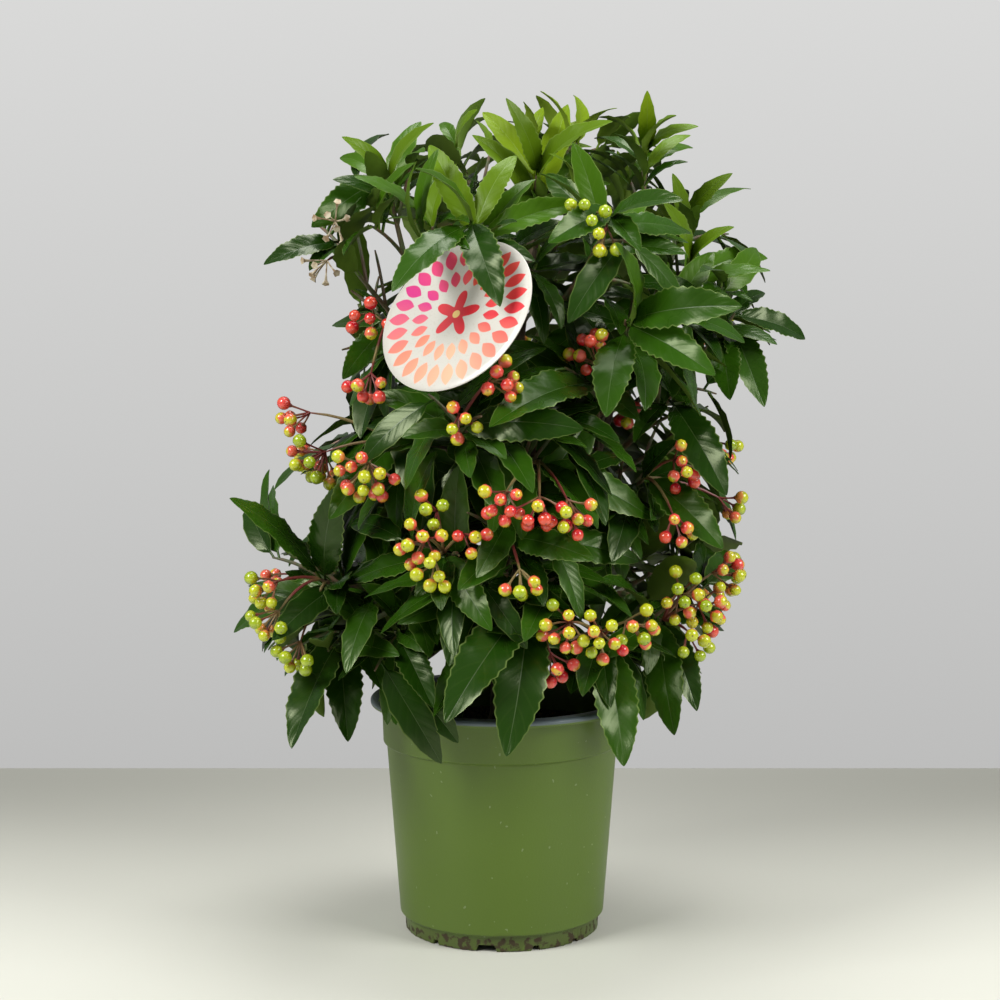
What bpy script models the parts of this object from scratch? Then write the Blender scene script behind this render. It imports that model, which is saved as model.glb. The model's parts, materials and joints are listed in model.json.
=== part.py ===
"""Potted ardisia: a shrub with berries in its nursery pot, as separate solids.

Metres, +Z up. The origin is the middle of the pot's flat underside, and the plant's
front faces -Y. The stems are tapering tubes along Bezier paths. Each mass of foliage
is one stem with side twigs, leaves and berries that branch by a seeded rule, fused.
"""

import math
import random
from collections import namedtuple

import bmesh
import bpy
import numpy as np
from mathutils import Matrix, Vector
from mathutils.bvhtree import BVHTree

SEED = 7
MM = 0.001
UP = Vector((0, 0, 1))
GOLDEN_ANGLE = math.radians(137.508)
CLEARANCE = 0.3 * MM
MERGE_DISTANCE = 0.001 * MM

# Pot
POT_HEIGHT = 0.125
POT_SEGMENTS = 32
LIP_RADIUS = 0.070
LIP_THICKNESS = 0.0035
BAND_RADIUS = 0.06325
BAND_HEIGHT = 0.021
BODY_TOP_RADIUS = 0.0614
BODY_FOOT_RADIUS = 0.0545
FOOT_RADIUS = 0.0517
FOOT_WALL = 0.0022
FOOT_HEIGHT = 0.0085
BASE_RECESS = 0.006
BASE_THICKNESS = 0.002
PAD_RADIUS = 0.022
PAD_SLOPE = 0.002
FOOT_FLARE = 0.0003
FOOT_LEDGE = 0.0008
BAND_LEDGE = 0.001
BAND_FLARE = 0.0006
LIP_BEVEL = 0.001
WALL = 0.0016
POT_CREASE = math.radians(35)
CUTTER_OVERREACH = 2.4
# Drain notches in the foot ring: where round it in degrees, width and height
NOTCHES = ((261, 0.0100, 0.0035), (228, 0.0035, 0.0025), (290, 0.0040, 0.0025), (318, 0.0035, 0.0020),
           (12, 0.0100, 0.0035), (50, 0.0040, 0.0025), (95, 0.0035, 0.0020), (138, 0.0100, 0.0035),
           (185, 0.0040, 0.0025))

# Soil
SOIL_TOP = 0.108
SOIL_SEGMENTS = 20
SOIL_ROUGHNESS = 0.0016
SOIL_RANGE = (-1, 0.6)
SOIL_FLAT_RADIUS = 0.012
SOIL_EDGE_DROP = 0.003
# Rings of the soil's surface between its edge and its flat middle: radius, and depth under the top
SOIL_RINGS = ((0.048, 0.0010), (0.034, 0.0005), (0.022, 0.0005))
# How far the pot's wall is kept clear of what hangs over it
RIM_MARGIN = 0.001

# Tag: a round card that a loop holds on a twig
TAG_RADIUS = 0.0425
TAG_THICKNESS = 0.0008
TAG_CENTRE = Vector((-0.022, -0.092, 0.3305))
TAG_FACES = Vector((-0.52, -0.68, 0.54))
TAG_SEGMENTS = 32
TAG_NECK_WIDTH = 0.007
TAG_NECK_OVERLAP = 0.003
TAG_NECK_THICKNESS = 0.9 * TAG_THICKNESS
TAG_NECK_TIP_WIDTH = 0.0028
TAG_LOOP_WIDTH = 0.004
TAG_LOOP_WALL = 0.0009
TAG_LOOP_SIDES = 8
TAG_MASS = "top_front_left"
TAG_LOOP_ALONG = 0.85

# Stems
TRUNK_SIDES = 8
TRUNK_STEPS = 8
BOUGH_SIDES = 5
BOUGH_STEPS = 5
TWIG_SIDES = 3
FLARE_HEIGHT = 0.014
FLARE_WIDENING = 0.75
BARK_CREASE = math.radians(50)
# How finely the place is sought where a stem comes clear of its limb, and how clear it has to be
START_STEPS = 800
START_MARGIN = 0.8 * CLEARANCE
# A mass's stem: how far its first and last control points stand off, how much its first one keeps to
# the limb's way, and how steeply its end rises, with fresh leaves more so
FIRST_REACH = 0.35
LAST_REACH = 0.30
LIMB_PULL = 0.2
STEM_RISE = 0.5
YOUNG_RISE = 0.9
STEM_RADII = (0.0017, 0.0010)
STEM_STEPS = 3
# Side twigs: where they leave, how far they open, and how they are drawn outwards and upwards
TWIG_RADII = (0.0011, 0.0008)
TWIG_LENGTH = 0.032
TWIG_START = 0.58
TWIG_OPENING = math.radians(62)
TWIG_OUTWARD = 0.5
TWIG_UPWARD = 0.2
TWIG_BOW = 0.125
TWIG_ATTEMPTS = 9
# Stalks of the bunches: where on the stem they may leave, and how much they bow
STALK_RADII = (0.0009, 0.0007)
STALK_PLACES = (0.45, 0.55, 0.65, 0.75, 0.85, 0.95)
STALK_BOWS = (0.12, 0.26, -0.06, 0.42)
PEDICEL_RADIUS = 0.0006

# Leaves
LEAF_LENGTH = 0.064
YOUNG_LEAF_LENGTH = 0.040
LEAF_WIDTH_SHARE = 0.33
YOUNG_WIDENING = -0.20
LEAF_THICKNESS = 0.0011
LEAF_SPACING = 0.0030
LEAF_ARCH = (0.12, 0.22)
YOUNG_ARCHING = 0.14
LEAF_ROLL = math.radians(22)
# How far the upper side leans from straight up: outwards, and for a leading leaf towards the front
FRONT = Vector((0, -1, 0))
LEAF_LEAN = 0.6
SEEN_LEAN = 1.1
# Where a blade's sections lie along it, and their share of the full width
LEADING_SECTIONS = ((0.40, 1.0), (0.74, 0.74))
PLAIN_SECTIONS = ((0.50, 1.08),)
FINE_LEAF_LENGTH = 0.045
TIP_LEAVES = 5
TWIG_LEAVES = 2
FEWEST_LEAVES = 2
TWIG_LEAF_SHARE = 0.85
# Where leaves sit, in spacings from the end: leading ones and the others; none sits lower than a share
LEADING_PLACE = 0.6
RULE_PLACE = 0.4
LOWEST_PLACE = 0.5
# The rule's leaves: how wide the lowest one opens, how much less the top one and fresh ones do, how they
# droop, how long they are, and how much their width varies
OPENING_WIDE = math.radians(96)
OPENING_FALL = math.radians(50)
OPENING_YOUNG = math.radians(12)
DROOP = 0.30
DROOP_YOUNG = 0.8
DROOP_FALL = 0.5
LENGTH_LOW = 1.05
LENGTH_FALL = 0.3
WIDTH_RANGE = (0.9, 1.05)
# From which age a mass has the fresh leaves' colour
FRESH_FROM = 0.5
LEAF_ATTEMPTS = 7
ATTEMPT_TURN = 0.31
RULE_RISES = (0, 7, -7)
# Where a leading leaf may go when its own place is taken: nearer or farther, and higher, in mm
LEADING_SHIFTS = ((0, 0), (-8, 0), (8, 0), (0, 6), (0, -6), (-16, 0), (16, 0), (-10, 8), (-10, -8), (24, 0))
TEST_MARGIN = 0.5 * MM
TEST_START = 0.22
TEST_STEP = 0.1

# Berries
BERRY_RADIUS = 0.00375
UMBEL_SPREAD = 0.0046
UMBEL_HANG = 0.5
UMBEL_DEPTH = 0.6
UMBEL_SCATTER = 0.1
UMBEL_WAVES = 7
HUB_DISTANCE = 0.011
MADE_SHARE = 0.30
FEWEST_BERRIES = 2

# How far the crown reaches at each height: left, right
CROWN_REACH = ((0.100, 0.085, 0.075), (0.130, 0.118, 0.105), (0.165, 0.140, 0.125), (0.230, 0.138, 0.130),
               (0.270, 0.112, 0.130), (0.315, 0.082, 0.150), (0.350, 0.088, 0.146), (0.380, 0.100, 0.136),
               (0.405, 0.092, 0.118), (0.430, 0.074, 0.098), (0.452, 0.045, 0.072))
CROWN_DEPTH_SHARE = 0.95

# Openings that show light through the crown from the front: left, right, low and high in mm where the
# sight line from the eye point crosses the plane of the trunk
EYE_POINT = np.array((-0.001, -1.209, 0.364))
SIGHT_SHARES = (0.35, 0.5, 0.65, 0.8, 0.9, 1.0)
SIGHT_TAPER = 4
# How much of the width of a bunch and of the card stays free of the rule's leaves before it
BUNCH_VIEW = 0.8
TAG_VIEW = 0.7
OPENINGS = ((-122, -84, 276, 345), (-68, -53, 341, 378), (125, 160, 225, 278), (-115, -98, 212, 240),
            (-80, -70, 89, 138), (-63, -24, 429, 460), (-84, -64, 421, 460), (74, 96, 265, 282),
            (104, 128, 373, 385), (-140, -115, 190, 198), (14, 58, 103, 122), (-36, -26, 138, 146),
            (17, 23, 142, 149), (106, 117, 282, 300))

Limb = namedtuple("Limb", "name parent along points radii")
# Each limb leaves its parent at a share of the parent's length and runs by points in mm
LIMBS = (
    Limb("bough_centre", "trunk", 1.0, ((8, 0, 270), (8, 0, 320), (15, -8, 368)), (3.3, 1.8)),
    Limb("bough_right", "trunk", 0.62, ((40, 12, 205), (56, 4, 262), (66, -12, 322)), (2.9, 1.7)),
    Limb("bough_left", "trunk", 0.78, ((-22, 8, 232), (-42, 6, 280), (-46, -6, 334)), (2.9, 1.7)),
    Limb("bough_back", "trunk", 0.90, ((6, 40, 240), (6, 54, 300), (18, 52, 362)), (2.8, 1.6)),
    Limb("bough_front", "trunk", 0.97, ((4, -20, 232), (-4, -40, 250), (-8, -56, 258)), (2.4, 1.7)),
    Limb("bough_low_left", "trunk", 0.36, ((-20, -6, 166), (-48, -18, 172), (-68, -28, 186)), (2.7, 1.8)),
    Limb("bough_low_right", "trunk", 0.44, ((22, -4, 176), (44, -16, 176), (60, -28, 184)), (2.7, 1.8)),
    Limb("bough_low_front", "trunk", 0.52, ((0, -20, 182), (-2, -40, 192), (0, -56, 204)), (2.6, 1.8)),
    Limb("bough_low_back_left", "trunk", 0.40, ((-14, 26, 172), (-30, 46, 178), (-40, 62, 192)), (2.7, 1.8)),
    Limb("bough_low_back_right", "trunk", 0.48, ((16, 28, 180), (34, 44, 186), (46, 60, 200)), (2.7, 1.8)),
)
TRUNK_POINTS = ((0, 0, 108.3), (0, 0, 130), (-5, 4, 162), (8, 3, 196), (6, 2, 226))
TRUNK_RADII = (5.0, 3.7)

Mass = namedtuple("Mass", "name limb along end young seen umbels")
# Each mass leaves its limb at a share of the limb's length and its stem ends at a point in mm.
# young runs from 0, full-grown leaves, to 1, fresh ones. seen are the tips of its leading
# leaves, in mm from the stem's end. umbels are the middles of its bunches in mm and their berries.
MASSES = (
    Mass("top_centre", "bough_centre", 1.0, (18, -20, 401), 0.9,
         ((-16, -22, 36), (-28, 14, 31), (37, -30, 24), (26, 25, 28), (-16, -26, -16), (16, 21, 35), (-33, -15, 18)),
         ()),
    Mass("top_front_left", "bough_centre", 0.70, (-16, -80, 377), 0.7,
         ((15, -37, -42), (-36, -37, -35), (-25, -27, 23), (23, 26, 31), (-20, 22, 36), (55, 9, 7)), ()),
    Mass("top_right", "bough_right", 1.0, (75, 0, 416), 0.9,
         ((-1, -22, 26), (25, -23, 8), (13, -24, 13), (-26, 22, 4), (26, 20, -1)), ()),
    Mass("upper_right", "bough_right", 0.84, (98, 22, 380), 0.8, ((22, -22, 21), (36, 18, 14), (-9, -20, 21)), ()),
    Mass("front_upper_right", "bough_centre", 0.50, (54, -75, 382), 0.3,
         ((-32, -31, -17), (12, -27, -21), (32, -29, 3), (41, 30, -12), (-32, 30, 17), (-19, 15, 32)),
         ((41, -92, 378, 5), (50, -94, 364, 4))),
    Mass("right_front", "bough_right", 0.90, (61, -70, 327), 0.2,
         ((53, -43, 8), (41, -38, -25), (-42, 36, 4), (-7, -33, 38), (-11, -39, -45), (26, 36, -40)), ()),
    Mass("right_upper", "bough_right", 0.76, (98, -6, 350), 0.7,
         ((-16, -29, 35), (20, -25, 23), (43, 25, 7), (38, -31, 1)), ()),
    Mass("right_outer", "bough_right", 0.62, (120, -20, 329), 0.3,
         ((39, 19, -14), (12, -33, -46), (18, 24, 10), (19, -25, -15), (-6, -33, -42)), ()),
    Mass("left_outer", "bough_left", 0.80, (-85, -10, 367), 0.2, ((-36, -24, -13), (-13, -22, -16)), ()),
    Mass("left_upper", "bough_left", 1.0, (-60, 5, 402), 0.6,
         ((-37, -34, -29), (-22, -22, 17), (-26, 20, 8), (25, -23, 24), (17, 21, 27), (-26, -24, -5)), ()),
    Mass("left_front_upper", "bough_left", 0.90, (-35, -50, 373), 0.5, ((-37, -27, 24),), ()),
    Mass("top_back_left", "bough_centre", 0.84, (-25, 40, 417), 0.8, ((12, -20, 18), (-8, 18, 13)), ()),
    Mass("left_mid", "bough_left", 0.66, (-60, -25, 326), 0.1,
         ((-29, 25, -4), (-20, -29, -29), (-14, -22, 16)), ((-68, -58, 327, 6), (-66, -74, 292, 6))),
    Mass("centre_high", "bough_front", 1.0, (-23, -85, 276), 0.0,
         ((62, -23, 0), (-25, -24, -4), (25, -26, -14), (8, -26, -23)), ((1, -107, 300, 7), (-19, -107, 279, 5))),
    Mass("left_mid_low", "bough_left", 0.42, (-55, -50, 266), 0.0,
         ((23, -27, -20), (-30, -37, -36), (-21, 26, -17)),
         ((-108, -42, 276, 6), (-98, -50, 253, 12), (-68, -90, 250, 14))),
    Mass("centre_dark", "bough_right", 0.52, (48, -60, 296), 0.0,
         ((-54, -44, -18), (29, 30, 25), (19, -27, -17)), ((44, -66, 311, 9),)),
    Mass("centre_mid", "bough_front", 0.80, (19, -72, 258), 0.0, ((27, -37, -30), (57, 12, -31)),
         ((-1, -117, 239, 8), (18, -119, 236, 8), (34, -113, 234, 7), (12, -118, 223, 4))),
    Mass("left_low", "bough_low_left", 1.0, (-94, -45, 195), 0.0,
         ((-40, -39, 45), (12, -34, 50), (29, -36, -30), (-46, 22, -32), (-21, -26, -28)),
         ((-122, -58, 188, 7), (-118, -62, 171, 7), (-104, -66, 155, 6))),
    Mass("left_low_hang", "bough_low_left", 0.72, (-86, -26, 164), 0.0,
         ((8, -39, -50), (-19, -39, -50), (-30, 28, -29), (25, -30, -25)), ()),
    Mass("low_left_front", "bough_low_left", 0.50, (-54, -64, 170), 0.0,
         ((20, -33, -32), (18, -24, -6), (-15, -27, 28)), ()),
    Mass("centre_front", "bough_low_front", 0.86, (-30, -86, 214), 0.0,
         ((25, -33, -34), (1, -26, -24), (-50, 38, -22), (-12, -22, -19)),
         ((-34, -107, 239, 4), (-41, -112, 220, 8), (-34, -114, 205, 5), (-13, -112, 222, 4))),
    Mass("low_front", "bough_low_front", 0.62, (14, -84, 188), 0.0,
         ((-41, -50, -50), (-12, -50, -66), (-48, 2, -58), (23, 30, -30)), ((26, -104, 156, 5),)),
    Mass("low_right_front", "bough_low_right", 0.62, (50, -80, 170), 0.0,
         ((3, -26, -30), (9, -36, -57), (-11, -26, -23), (22, 26, 18)),
         ((28, -116, 179, 8), (47, -114, 173, 9), (68, -98, 177, 7))),
    Mass("low_right", "bough_low_right", 1.0, (84, -42, 172), 0.0,
         ((14, -29, -41), (2, -32, -51), (-11, -26, -23), (33, 30, -10)),
         ((92, -74, 190, 9), (118, -50, 199, 8), (107, -64, 180, 9), (98, -68, 163, 5))),
    Mass("right_mid", "bough_right", 0.42, (86, -40, 287), 0.0, ((25, -39, -46), (-20, -26, -21), (14, 22, -20)),
         ((64, -24, 275, 4),)),
    Mass("right_low_mid", "bough_right", 0.30, (74, -45, 248), 0.0,
         ((35, -38, -33), (13, -22, 19), (38, 24, -18), (-24, -30, -22)),
         ((94, -64, 254, 9), (88, -78, 222, 5), (119, -38, 228, 4))),
    Mass("centre_low", "bough_low_front", 1.0, (3, -83, 222), 0.0,
         ((41, -33, -8), (66, 20, -16), (-24, -30, -22), (17, -31, -31)), ((10, -116, 200, 5),)),
    Mass("top_back", "bough_back", 1.0, (32, 60, 416), 0.9, (), ()),
    Mass("back_upper_left", "bough_back", 0.78, (-34, 74, 382), 0.6, (), ()),
    Mass("back_upper_right", "bough_back", 0.84, (66, 70, 378), 0.6, (), ()),
    Mass("back_middle", "bough_back", 0.56, (6, 96, 322), 0.1, (), ((6, 118, 306, 8),)),
    Mass("back_left_high", "bough_left", 0.56, (-78, 44, 332), 0.2, (), ()),
    Mass("left_middle_back", "bough_left", 0.30, (-82, 42, 262), 0.0, (), ((-104, 44, 244, 8),)),
    Mass("back_right_high", "bough_right", 0.70, (100, 52, 334), 0.2, (), ((118, 62, 318, 7),)),
    Mass("right_middle_back", "bough_right", 0.36, (98, 26, 268), 0.0, (), ((118, 20, 250, 9),)),
    Mass("back_low_left", "bough_low_back_left", 1.0, (-62, 88, 204), 0.0, (), ((-72, 108, 190, 9),)),
    Mass("left_low_back", "bough_low_back_left", 0.55, (-100, 32, 190), 0.0, (), ((-122, 30, 178, 8),)),
    Mass("back_low_right", "bough_low_back_right", 1.0, (64, 88, 206), 0.0, (), ((76, 106, 190, 9),)),
    Mass("right_low_back", "bough_low_back_right", 0.55, (104, 30, 196), 0.0, (), ((122, 36, 180, 8),)),
    Mass("back_low", "bough_low_back_left", 0.70, (2, 100, 178), 0.0, (), ((4, 118, 162, 8),)),
    Mass("back_middle_left", "bough_back", 0.22, (-50, 86, 262), 0.0, (), ((-60, 108, 250, 9),)),
    Mass("back_middle_right", "bough_back", 0.32, (52, 88, 266), 0.0, (), ((62, 108, 252, 9),)),
)

# The front's bunches and the far edge of the card as the eye point sees them: the way and the distance
# to each, and how far round it the view stays free
FRONT_BUNCHES = np.array([umbel for mass in MASSES for umbel in mass.umbels if umbel[1] < 0])
TAG_FAR = TAG_CENTRE + Vector((0, TAG_RADIUS, 0))
VIEWS = np.vstack((FRONT_BUNCHES[:, :3] * MM, TAG_FAR)) - EYE_POINT
VIEW_DISTANCES = np.linalg.norm(VIEWS, axis=1)
VIEW_WAYS = VIEWS / VIEW_DISTANCES[:, None]
VIEW_REACHES = np.append(BUNCH_VIEW * UMBEL_SPREAD * np.sqrt(FRONT_BUNCHES[:, 3]), TAG_VIEW * TAG_RADIUS)

PAINTS = {
    "pot": ((0.098, 0.171, 0.027), 0.45),
    "soil": ((0.021, 0.014, 0.009), 0.95),
    "tag": ((0.85, 0.82, 0.74), 0.45),
    "bark": ((0.120, 0.080, 0.045), 0.75),
    "leaf": ((0.020, 0.085, 0.014), 0.35),
    "fresh_leaf": ((0.120, 0.270, 0.030), 0.45),
}


def mm(point):
    """A point given in millimetres, in metres."""
    return Vector(point) * MM


def clear_scene():
    """Removes what the scene holds, so that the script always starts empty."""
    for thing in list(bpy.data.objects):
        bpy.data.objects.remove(thing, do_unlink=True)


def make_material(name, paint):
    """A plain Principled material of one of the paints."""
    colour, roughness = PAINTS[paint]
    material = bpy.data.materials.new(name)
    material.use_nodes = True
    shader = material.node_tree.nodes["Principled BSDF"]
    shader.inputs["Base Color"].default_value = (*colour, 1)
    shader.inputs["Roughness"].default_value = roughness
    shader.inputs["Metallic"].default_value = 0
    material.diffuse_color = (*colour, 1)
    return material


def make_object(name, shape, paint=None):
    """An object from a shape, which is a list of points and a list of faces."""
    points, faces = shape
    mesh = bpy.data.meshes.new(name)
    mesh.from_pydata([tuple(point) for point in points], [], faces)
    mesh.update()
    thing = bpy.data.objects.new(name, mesh)
    bpy.context.collection.objects.link(thing)
    if paint:
        mesh.materials.append(make_material(name + "_finish", paint))
    return thing


# Paths and tubes


def bezier(controls, share):
    """The point of a Bezier curve at a share of its parameter, by De Casteljau's rule."""
    points = [Vector(point) for point in controls]
    while len(points) > 1:
        points = [a.lerp(b, share) for a, b in zip(points, points[1:])]
    return points[0]


def bezier_tangent(controls, share):
    """The unit direction of a Bezier curve."""
    steps = [Vector(b) - Vector(a) for a, b in zip(controls, controls[1:])]
    return bezier(steps, share).normalized()


def side_of(direction):
    """A unit vector square to a direction, the same one each time."""
    other = UP if abs(direction.z) < 0.9 else Vector((1, 0, 0))
    return direction.cross(other).normalized()


def sections_of(point_sets):
    """Faces of a closed tube from its cross-sections, each a list of as many corners."""
    sides = len(point_sets[0])
    points = [point for section in point_sets for point in section]
    faces = [tuple(reversed(range(sides)))]
    for step in range(len(point_sets) - 1):
        for corner in range(sides):
            here = step * sides + corner
            beside = step * sides + (corner + 1) % sides
            faces.append((here, beside, beside + sides, here + sides))
    faces.append(tuple(range(len(points) - sides, len(points))))
    return points, faces


class Stem:
    """A tapering stem along a Bezier curve, cut into straight stretches."""

    def __init__(self, controls, radii, sides, steps, start=0.0, flare=0.0):
        self.controls = tuple(Vector(point) for point in controls)
        self.radii = radii
        self.sides = sides
        self.steps = steps
        self.start = start
        self.flare = flare
        self.nodes = [bezier(self.controls, self.share_of(step)) for step in range(steps + 1)]
        self.length = sum((b - a).length for a, b in zip(self.nodes, self.nodes[1:]))

    def share_of(self, step):
        """The curve's parameter at a node."""
        return self.start + (1 - self.start) * step / self.steps

    def at(self, share):
        """The point of the straight stretches at a share of their length."""
        left = min(max(share, 0), 1) * self.length
        for a, b in zip(self.nodes, self.nodes[1:]):
            stretch = (b - a).length
            if left <= stretch:
                return a.lerp(b, left / stretch)
            left -= stretch
        return self.nodes[-1].copy()

    def way(self, share):
        """The unit direction of the stretch at a share of the length."""
        left = min(max(share, 0), 1) * self.length
        for a, b in zip(self.nodes, self.nodes[1:]):
            stretch = (b - a).length
            if left <= stretch:
                return (b - a).normalized()
            left -= stretch
        return (self.nodes[-1] - self.nodes[-2]).normalized()

    def ring(self, centre, tangent, radius):
        """The corners of a cross-section, with a corner turned to the same side all along."""
        mean = (self.controls[-1] - self.controls[0]).normalized()
        across = side_of(mean)
        across = (across - tangent * across.dot(tangent)).normalized()
        over = tangent.cross(across)
        angles = [math.tau * corner / self.sides for corner in range(self.sides)]
        return [centre + across * radius * math.cos(angle) + over * radius * math.sin(angle) for angle in angles]

    def shape(self, grow=0.0, skip=0):
        """The closed tube, grown by a margin, without its first stretches."""
        rings = []
        for step in range(skip, self.steps + 1):
            share = self.share_of(step)
            radius = self.radii[0] + (self.radii[1] - self.radii[0]) * share + grow
            if self.flare:
                height = (self.nodes[step] - self.nodes[0]).length
                radius *= 1 + self.flare * math.exp(-height / FLARE_HEIGHT)
            rings.append(self.ring(self.nodes[step], bezier_tangent(self.controls, share), radius))
        return sections_of(rings)


def tree_of(shape):
    """A search tree of a shape's faces."""
    points, faces = shape
    return BVHTree.FromPolygons([tuple(point) for point in points], faces)


def signed_distance(tree, point):
    """How far a point lies outside a closed surface, below 0 inside it."""
    nearest, normal, _, distance = tree.find_nearest(point)
    return distance if (point - nearest).dot(normal) > 0 else -distance


def clear_stem(controls, radii, sides, steps, parent_tree):
    """A stem that starts where its whole cross-section has just come clear of the limb that it leaves."""
    bare = Stem(controls, radii, sides, 1)
    for step in range(1, START_STEPS // 2):
        share = step / START_STEPS
        ring = bare.ring(bezier(controls, share), bezier_tangent(controls, share), radii[0])
        if min(signed_distance(parent_tree, point) for point in ring) < CLEARANCE:
            continue
        stem = Stem(controls, radii, sides, steps, share)
        if not tree_of(stem.shape(START_MARGIN)).overlap(parent_tree):
            return stem
    raise ValueError("a stem never leaves its limb")


# What is already in place


class Space:
    """The shapes placed so far, and the test that a new one stays clear of them."""

    def __init__(self):
        self.trees = []
        self.owners = []
        self.lows = []
        self.highs = []

    def add(self, owner, shape):
        """Notes a shape that belongs to a node."""
        cloud = np.array([tuple(point) for point in shape[0]])
        self.trees.append(tree_of(shape))
        self.owners.append(owner)
        self.lows.append(cloud.min(axis=0))
        self.highs.append(cloud.max(axis=0))

    def is_clear(self, owner, whole, outer):
        """Whether a whole shape misses other nodes' shapes, and its outer part misses its own node's."""
        cloud = np.array([tuple(point) for point in whole[0]])
        low, high = cloud.min(axis=0), cloud.max(axis=0)
        near = (np.array(self.lows) <= high).all(axis=1) & (np.array(self.highs) >= low).all(axis=1)
        whole_tree = tree_of(whole)
        outer_tree = tree_of(outer)
        for index in np.flatnonzero(near):
            tried = outer_tree if self.owners[index] == owner else whole_tree
            if tried.overlap(self.trees[index]):
                return False
        return True


def crown_reach(point):
    """How far from the axis the crown may reach in a point's direction, at its height."""
    heights = [row[0] for row in CROWN_REACH]
    left = np.interp(point.z, heights, [row[1] for row in CROWN_REACH])
    right = np.interp(point.z, heights, [row[2] for row in CROWN_REACH])
    depth = CROWN_DEPTH_SHARE * (left + right) / 2
    side = right if point.x > 0 else left
    angle = math.atan2(point.y, point.x)
    return 1 / math.hypot(math.cos(angle) / side, math.sin(angle) / depth)


def inside_crown(point):
    """Whether a point lies inside the crown's outline."""
    lowest, highest = CROWN_REACH[0][0], CROWN_REACH[-1][0]
    return lowest < point.z < highest and math.hypot(point.x, point.y) < crown_reach(point)


# Leaves and berries


class Leaf:
    """A leaf's root and tip, how high it arches, how far it rolls and where its upper side leans."""

    def __init__(self, root, tip, arch, roll, share, sections, facing):
        self.root = root
        self.tip = tip
        self.arch = arch
        self.roll = roll
        self.share = share
        self.sections = sections
        self.facing = facing

    def moved(self, shift):
        """The same leaf with its tip elsewhere."""
        return Leaf(self.root, self.tip + shift, self.arch, self.roll, self.share, self.sections, self.facing)

    def half_width(self):
        """Half the blade's greatest width."""
        return 0.5 * LEAF_WIDTH_SHARE * self.share * (self.tip - self.root).length

    def frame(self):
        """The midrib's control points and the direction of the blade's width."""
        chord = self.tip - self.root
        along = chord.normalized()
        lifted = UP + self.facing
        lifted = (lifted - along * lifted.dot(along)).normalized()
        lifted = Matrix.Rotation(self.roll, 3, along) @ lifted
        middle = self.root + chord * 0.5 + lifted * self.arch * chord.length
        return (self.root, middle, self.tip), along.cross(lifted)

    def shape(self, grow=0.0, start=0.0):
        """The blade as a closed dart of one or two sections between its root and its tip."""
        controls, across = self.frame()
        half_width = self.half_width() + grow
        thickness = LEAF_THICKNESS + 2 * grow
        points = [bezier(controls, start)]
        for place, width in self.sections:
            place = max(place, start + TEST_STEP)
            centre = bezier(controls, place)
            over = across.cross(bezier_tangent(controls, place))
            edge = half_width * width
            points += [centre + across * edge, centre - across * edge, centre - over * thickness]
        points.append(bezier(controls, 1) + bezier_tangent(controls, 1) * grow)
        return points, dart_faces(len(self.sections))

    def sights(self):
        """The ways from the eye point to points along its midrib and both edges."""
        controls, across = self.frame()
        points = []
        for share in SIGHT_SHARES:
            reach = self.half_width() * (1 - share ** SIGHT_TAPER)
            points += [tuple(bezier(controls, share) + across * side) for side in (-reach, 0, reach)]
        return np.array(points) - EYE_POINT

    def blocks_view(self):
        """Whether it would cover one of the crown's openings, or stand before a front bunch or the card."""
        sights = self.sights()
        crossings = (EYE_POINT - sights * (EYE_POINT[1] / sights[:, 1:2])) / MM
        for left, right, low, high in OPENINGS:
            covers = (left < crossings[:, 0]) & (crossings[:, 0] < right)
            if (covers & (low < crossings[:, 2]) & (crossings[:, 2] < high)).any():
                return True
        along = sights @ VIEW_WAYS.T
        aside = np.linalg.norm(sights[:, None] - along[..., None] * VIEW_WAYS, axis=-1)
        return bool(((along < VIEW_DISTANCES) & (aside < VIEW_REACHES)).any())


def dart_faces(sections):
    """Faces of a root point, rings of an edge, an edge and a keel, and a tip point, turned outwards."""
    faces = []
    tip = 1 + 3 * sections
    for corner in range(3):
        beside = (corner + 1) % 3
        faces.append((0, 1 + corner, 1 + beside))
        for section in range(sections - 1):
            low, high = 1 + 3 * section, 4 + 3 * section
            faces.append((low + corner, high + corner, high + beside))
            faces.append((low + corner, high + beside, low + beside))
        faces.append((tip - 3 + corner, tip, tip - 3 + beside))
    return faces


def ball_shape(centre, radius):
    """A berry: an icosahedron."""
    ball = bmesh.new()
    bmesh.ops.create_icosphere(ball, subdivisions=1, radius=radius)
    points = [centre + vertex.co for vertex in ball.verts]
    faces = [tuple(vertex.index for vertex in face.verts) for face in ball.faces]
    ball.free()
    return points, faces


def joined(*shapes):
    """Several shapes in one."""
    points, faces = [], []
    for shape_points, shape_faces in shapes:
        faces += [tuple(len(points) + index for index in face) for face in shape_faces]
        points += list(shape_points)
    return points, faces


class Umbel:
    """A bunch of berries: its stalk, its hub and its berries' middles, the outer ones first."""

    def __init__(self, root, middle, count, turn, bow):
        down = ((middle - root).normalized() - UP * UMBEL_HANG).normalized()
        self.hub = middle - down * HUB_DISTANCE
        bend = root.lerp(self.hub, 0.5) + UP * bow * (self.hub - root).length
        self.stalk = Stem((root, bend, self.hub), STALK_RADII, TWIG_SIDES, 2)
        across = side_of(down)
        over = down.cross(across)
        spread = UMBEL_SPREAD * math.sqrt(count)
        self.berries = []
        for index in reversed(range(count)):
            polar = (index + 0.5) / count
            angle = turn + GOLDEN_ANGLE * index
            wide = spread * math.sqrt(polar)
            deep = spread * (UMBEL_DEPTH * (0.5 - polar) + UMBEL_SCATTER * math.sin(UMBEL_WAVES * angle))
            self.berries.append(middle + across * wide * math.cos(angle) + over * wide * math.sin(angle)
                                + down * deep)


# Growing


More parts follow.
